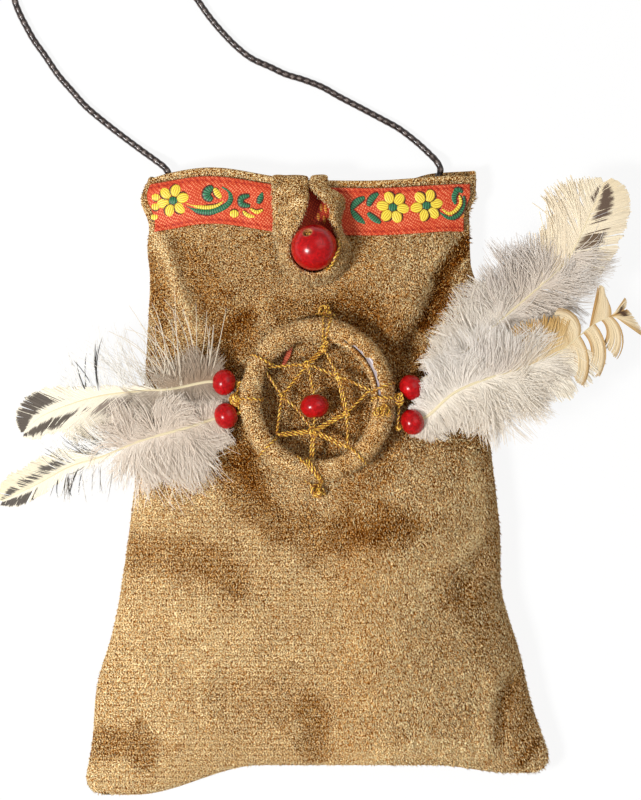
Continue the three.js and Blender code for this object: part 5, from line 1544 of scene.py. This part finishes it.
# %% Whole feathers
def feather(side, shaft, roll, seed, tracts):
    """One feather in one piece: the shaft, a tapered tube, and all its tracts of barbs."""
    draw = np.random.default_rng(seed)
    line, at = shaft_of(side, shaft, roll)
    size = QUILL_RADIUS * (1 - 0.8 * SHAFT_SHARE)
    section = round_section(size[:, None] * np.ones(SHAFT_SIDES), SHAFT_SIDES)
    points = [carried(line, section).reshape(-1, 3)]
    faces = list(tube_faces(SHAFT_STATIONS, SHAFT_SIDES))
    tint = [np.tile(linear("#eadcb6"), (len(points[0]), 1))]
    for tract in tracts:
        path, width, above, colour = barbs(at, draw, **tract)
        start = sum(len(block) for block in points)
        new_points, new_faces = strands(path, width, above)
        points.append(new_points)
        faces.extend(block + start for block in new_faces)
        tint.append(np.repeat(colour.reshape(-1, 3), 3, axis=0))
    return put_mesh("plume_" + side, np.vstack(points), faces, feather_barbs, tint=np.vstack(tint),
                    stands_for=("feather_" + side,), smooth=False)


# %% Upper left feather
# Down is thin, loose barbs that cling together at their tips. Hairs are single stiff ones, and in a vane
# broad barbs lie close.
CREAM, WHITE, BLACK, SLATE = "#fcf3de", "#fdfaf4", "#35322f", "#665d54"
ROSE_GREY, PALE_ROSE = "#e3d3c2", "#f4e8d9"
DOWN = dict(loose=0.26, wide=0.22, taper=0.6, rise=0.09, stations=5, gather=0.68)
HAIR = dict(loose=0.13, wide=0.2, taper=0.5, rise=0.04, stations=9, stops=[(0, WHITE)])
VANE = dict(stops=[(0, CREAM)])
feather("left_upper", [
    (-45.4, 27.1, 0.6), (-54.6, 26.5, 0.2), (-67.8, 24.9, -0.8), (-77.4, 22.3, -2), (-87.7, 17.8, -3.6),
    (-92.3, 13.4, -4.6)], roll=0.1, seed=201, tracts=[
    dict(DOWN, side=-1, span=(0.0, 0.27), count=620, length=[5, 9, 10, 8], angle=[120, 95, 70],
         stops=[(0, "#9b8067"), (1, "#ac967e")], tips="#c3b19c"),
    dict(DOWN, side=1, span=(0.0, 0.32), count=1000, length=[6, 10, 12, 12], angle=[120, 80, 55],
         stops=[(0, "#a08a74"), (1, "#c6b6a3")], tips="#d4c6b5"),
    dict(HAIR, side=-1, span=(0.04, 0.3), count=26, length=[19, 26, 25], angle=[112, 84], bend=-32, wide=0.26,
         stops=[(0, "#e2d5bf")]),
    dict(HAIR, side=-1, span=(0.22, 0.44), count=60, length=[15, 19, 19], angle=[72, 66], bend=-12, wide=0.16,
         stops=[(0, "#bcab92"), (0.5, "#d8cfc0"), (1, WHITE)], tips="#efe9df"),
    dict(HAIR, side=-1, span=(0.42, 0.72), count=70, length=[20, 20, 15, 9], angle=[78, 72, 60],
         wide=0.15),
    dict(HAIR, side=-1, span=(0.57, 0.64), count=9, length=[20, 17], angle=[80, 74], bend=14, wide=0.34,
         marks=[(-1, 2, 0.15, 0.8, BLACK, 0.8)]),
    dict(VANE, side=-1, span=(0.3, 0.995), count=330, length=[3, 5, 7, 10.5, 9, 1.5],
         angle=[22, 30, 40, 48, 34], marks=[(0.63, 1.1, 0.3, 0.97, SLATE, 0.97)]),
    dict(VANE, side=1, span=(0.22, 0.62), count=330, length=[17, 22, 20, 14], angle=[46, 38, 34],
         loose=0.04, stops=[(0, "#d3c8b5"), (0.4, "#e6dcc9"), (1, CREAM)],
         marks=[(0.36, 0.74, 0.12, 0.5, "#9a8c80", 0.8)]),
    dict(VANE, side=1, span=(0.52, 0.995), count=330, length=[15, 13, 11, 8, 2], angle=[30, 33, 37, 28],
         marks=[(0.02, 0.3, 0.42, 0.62, "#8b8178", 0.7), (0.24, 1.1, 0.4, 0.86, SLATE, 0.97)]),
])

# %% Lower left feather
feather("left_lower", [
    (-40.3, 14.8, 1.6), (-54.6, 10.8, 1.6), (-67.2, 5.7, 0.8), (-77.4, 2.5, -0.4), (-87.7, -3, -1.8),
    (-99.2, -8.6, -3.6)], roll=-0.14, seed=202, tracts=[
    dict(DOWN, side=1, span=(0.0, 0.42), count=2200, length=[5, 11, 15, 15, 10], angle=[116, 92, 80, 62],
         stops=[(0, "#d9c7b3"), (0.5, ROSE_GREY), (1, PALE_ROSE)], tips=PALE_ROSE),
    dict(DOWN, side=-1, span=(0.0, 0.44), count=1100, length=[5, 9, 12, 12], angle=[110, 82, 55],
         stops=[(0, "#d9c7b3"), (1, ROSE_GREY)], tips=PALE_ROSE),
    dict(HAIR, side=1, span=(0.04, 0.42), count=46, length=[9, 19, 22, 18], angle=[105, 70],
         stops=[(0, "#f6e9da"), (1, "#f8f0e6")]),
    dict(HAIR, side=1, span=(0.4, 0.74), count=80, length=[14, 12, 9], angle=[66, 60, 50],
         marks=[(0.1, 1, 0.3, 0.9, "#8f877f", 0.2)]),
    dict(HAIR, side=1, span=(0.6, 0.72), count=9, length=[12, 10], angle=[48, 40], bend=20, wide=0.36,
         marks=[(-1, 2, 0.25, 0.9, BLACK, 0.9)]),
    dict(VANE, side=1, span=(0.46, 0.995), count=280, length=[3, 4, 5.5, 6.5, 2], angle=[26, 34, 36, 30],
         marks=[(0.66, 1.1, 0.3, 0.97, "#645d56", 0.9)]),
    dict(HAIR, side=-1, span=(0.4, 0.72), count=120, length=[13, 12, 9], angle=[52, 50, 46],
         marks=[(0.2, 1, 0.15, 0.9, "#6f6963", 0.2)]),
    dict(VANE, side=-1, span=(0.52, 0.995), count=300, length=[4, 8, 9.5, 8, 2], angle=[40, 46, 44, 34],
         loose=0.03, stops=[(0, CREAM), (1, "#f4e8c8")], marks=[(0.25, 0.98, 0.22, 0.6, "#6a635b", 0.75)]),
])

# %% Upper right feather
SNOW, MAUVE, PALE_MAUVE = "#f4eadb", "#dacbba", "#e8dbcc"
GREYED = [(0, PALE_MAUVE), (0.4, MAUVE), (1, PALE_MAUVE)]
feather("right_upper", [
    (41.6, 33.2, -0.2), (49.9, 40.6, -0.8), (62.7, 51.8, -1.8), (76.8, 64.1, -2.8), (81.3, 69, -3.2),
    (88.2, 83.1, -4.6), (92.6, 93.2, -6)], roll=-0.06, seed=203, tracts=[
    dict(DOWN, side=1, span=(0.07, 0.42), count=1700, length=[5, 10, 13, 14], angle=[98, 80, 66],
         stops=[(0, SNOW), (0.6, "#f6eee3"), (1, "#e6dccf")], tips=SNOW),
    dict(DOWN, side=-1, span=(0.08, 0.42), count=1000, length=[6, 12, 16, 16], angle=[80, 66, 55],
         stops=[(0, SNOW), (1, "#ece2d6")], tips=SNOW),
    dict(DOWN, side=1, span=(0.36, 0.6), count=1000, length=[14, 15, 16, 15], angle=[68, 62, 56], loose=0.2,
         stops=GREYED, tips="#e2d9d0"),
    dict(DOWN, side=-1, span=(0.36, 0.72), count=1250, length=[14, 17, 16, 14], angle=[68, 62, 55], loose=0.2,
         stops=GREYED, tips="#ebe4dc"),
    dict(VANE, side=1, span=(0.55, 0.995), count=360, length=[17, 20, 19, 16, 9, 2], angle=[46, 48, 48, 40],
         loose=0.06, wide=0.4, stops=[(0, "#f8e8cb"), (0.6, "#faebcf"), (1, "#f9ecd0")],
         marks=[(0.82, 0.94, 0.1, 0.34, "#7a6656", 0.95)]),
    dict(VANE, side=-1, span=(0.62, 0.995), count=340, length=[11, 14, 15, 12, 3], angle=[56, 52, 46, 34],
         stops=[(0, "#fcf0da"), (1, "#f8e7c4")],
         marks=[(0.58, 0.96, 0.14, 0.54, "#6f5c4e", 0.97), (0.3, 0.44, 0.06, 0.6, "#77634f", 0.92)]),
])

# %% Lower right feather
# A lobe is a stretch of vane that has split off and curls away from its neighbours.
TAN, TAN_DARK = "#ead3a8", "#bd8f4c"
LOBE = dict(loose=0.015, wide=0.42, taper=0.7, stations=9,
            stops=[(0, TAN_DARK), (0.25, TAN), (0.75, "#efdcb8"), (1, "#c9a163")])
feather("right_lower", [
    (44.4, 25.8, 2.2), (55.6, 30.6, 2.8), (63.4, 32.6, 2.8), (70.7, 35.4, 2.4), (78.1, 38.8, 1.8),
    (83.6, 43.3, 1.2), (89.3, 47.9, 0.6), (95.4, 50.6, 0)], roll=0.05, seed=204, tracts=[
    dict(DOWN, side=-1, span=(0.0, 0.62), count=2500, length=[5, 10, 15, 17, 15, 11],
         angle=[125, 92, 76, 60, 50], loose=0.22, stops=[(0, SNOW), (0.5, "#f6ecdc"), (1, "#f8f0e2")],
         tips=SNOW),
    dict(DOWN, side=1, span=(0.0, 0.6), count=2100, length=[4, 9, 14, 15, 12], angle=[115, 84, 68, 55],
         loose=0.22, stops=[(0, SNOW), (0.45, "#efe5d8"), (0.75, "#d9cbbd"), (1, "#e6d4b4")], tips="#f8f2ea"),
    dict(VANE, side=1, span=(0.46, 0.78), count=280, length=[13, 14, 12, 6], angle=[62, 56, 42], loose=0.06,
         wide=0.4, stations=8, stops=[(0, "#e8d8b8"), (0.5, "#e2c690"), (1, TAN)], tips="#d2a863"),
    dict(VANE, side=-1, span=(0.54, 0.78), count=240, length=[15, 14, 12], angle=[56, 52, 60], bend=20,
         loose=0.06, wide=0.4, stations=8, stops=[(0, WHITE), (0.6, "#f6ecd8"), (1, TAN)], tips="#f6ecd8"),
    dict(LOBE, side=1, span=(0.745, 0.82), count=90, length=[11, 13], angle=[34, 26], bend=[115, 110]),
    dict(LOBE, side=1, span=(0.88, 0.985), count=120, length=[12.6, 11, 7], angle=[40, 50, 56],
         bend=[-4, 20, 52]),
    dict(LOBE, side=1, span=(0.975, 1.0), count=70, length=[5.4, 6.4, 6.6], angle=[4, 36],
         marks=[(-1, 0.6, 0.5, 0.85, "#5a4230", 0.9)]),
    dict(LOBE, side=-1, span=(0.975, 1.0), count=110, length=[6.4, 7.6, 11.3], angle=[4, 62], bend=-6,
         marks=[(-1, 0.3, 0.5, 0.85, "#5a4230", 0.9)]),
    dict(LOBE, side=-1, span=(0.94, 0.985), count=90, length=[8, 12, 15], angle=[62, 56], bend=85),
    dict(LOBE, side=-1, span=(0.84, 0.905), count=100, length=[11, 15, 18], angle=[80, 76], bend=75),
    dict(LOBE, side=-1, span=(0.76, 0.82), count=100, length=[10, 14, 16.5], angle=[92, 90], bend=62),
])

# %% [markdown]
# ## Small threads that stay
# The tacks over the cord's ends and the stitch through the button bead are plain loops of thread. Their
# solids already have that shape, so they only take the thread's finish.

# %% Plain gold thread finish
# The same mercerised cotton on smooth loops: its plies are painted as slanting bands, a pale one of sheen and
# a brown one of shade.
PLY_STEP = 1.1  # mm
plain_thread, tree, place = new_finish("gold_thread_plain")
slant = add(tree, "Mapping", {"Vector": place, "Rotation": (0.6, 0.5, 0.4)})
plies = add(tree, "TexWave", {"Vector": slant, "Scale": BAND / (PLY_STEP * MM), "Distortion": 1.0})
shade = add(tree, "ValToRGB", {"Fac": plies.outputs["Fac"]}, stops=[(0.1, "#7a4a10"), (0.7, "#d9a844")])
skin = add(tree, "BsdfPrincipled", {"Base Color": shade, "Roughness": 0.45, "IOR": 1.5})
add(tree, "OutputMaterial", {"Surface": skin})

# %% Thread nodes
for node in ("button_stitch", "strap_tack_left", "strap_tack_right"):
    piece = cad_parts[node]
    piece.data.materials.clear()
    piece.data.materials.append(plain_thread)
    print(node, "keeps its solid")

# %% [markdown]
# ## Floor and light
# The pouch was shot on white, lit from the left and with almost no shadow. A white floor under so little
# light would look grey, so most of it glows for the camera, and the rest keeps a faint shadow. A small
# lamp at the left gives the pile and the beads a clear light side, a large weak one opposite softens it,
# and an even, slightly warm world fills in the rest, so that colours come out about as they are written.

# %% White paper finish
# Matt white paper: white to the camera and in reflections, with a trace of shadow.
SHADOWLESS = 0.9  # share that glows
white_paper, tree, _ = new_finish("white_paper")
ray = add(tree, "LightPath")
seen = add(tree, "Math", {0: ray.outputs["Is Camera Ray"], 1: ray.outputs["Is Glossy Ray"]},
           operation="MAXIMUM")
seen = add(tree, "Math", {0: seen, 1: ray.outputs["Is Transmission Ray"]}, operation="MAXIMUM")
paper = add(tree, "BsdfDiffuse", {"Color": paint("#f4f4f4")})
glow = add(tree, "Emission", {"Color": paint("#ffffff"), "Strength": 1.0})
part = add(tree, "Math", {0: seen, 1: SHADOWLESS}, operation="MULTIPLY")
both = add(tree, "MixShader", {0: part, 1: paper, 2: glow})
add(tree, "OutputMaterial", {"Surface": both})

# %% Floor
FLOOR_HALF, FLOOR_HEIGHT = 3.0, -0.2 * MM
floor_mesh = bpy.data.meshes.new("floor")
floor_mesh.from_pydata([(x * FLOOR_HALF, y * FLOOR_HALF, FLOOR_HEIGHT)
                        for x, y in ((-1, -1), (1, -1), (1, 1), (-1, 1))], [], [(0, 1, 2, 3)])
floor_mesh.materials.append(white_paper)
floor = bpy.data.objects.new("floor", floor_mesh)
scene.collection.objects.link(floor)
print("floor is", 2 * FLOOR_HALF, "m wide")

# %% Lamps and world
WARM_SKY = (1, 0.965, 0.915, 1)  # linear, a little warmer than white
world = bpy.data.worlds.new("studio")
world.use_nodes = True
sky = world.node_tree.nodes["Background"].inputs
sky["Color"].default_value = WARM_SKY
sky["Strength"].default_value = 0.32
scene.world = world


def lamp(name, place, size, power):
    """A square soft lamp that looks at the middle of the pouch: place and size in metres, power in W."""
    data = bpy.data.lights.new(name, "AREA")
    data.energy = power
    data.size = size
    stand = bpy.data.objects.new(name, data)
    stand.location = place
    stand.rotation_euler = Vector(place).to_track_quat("Z", "Y").to_euler()
    scene.collection.objects.link(stand)
    print("lamp:", name, power, "W,", size, "m wide")


lamp("key", (-0.75, -0.3, 1.0), 0.25, 16.8)
lamp("fill", (0.7, 0.5, 1.0), 1.0, 3.4)

# %% [markdown]
# ## Size
# The triangles of all the dressed pieces are added up.

# %% Finish
print("triangles in all:", sum(triangles.values()))
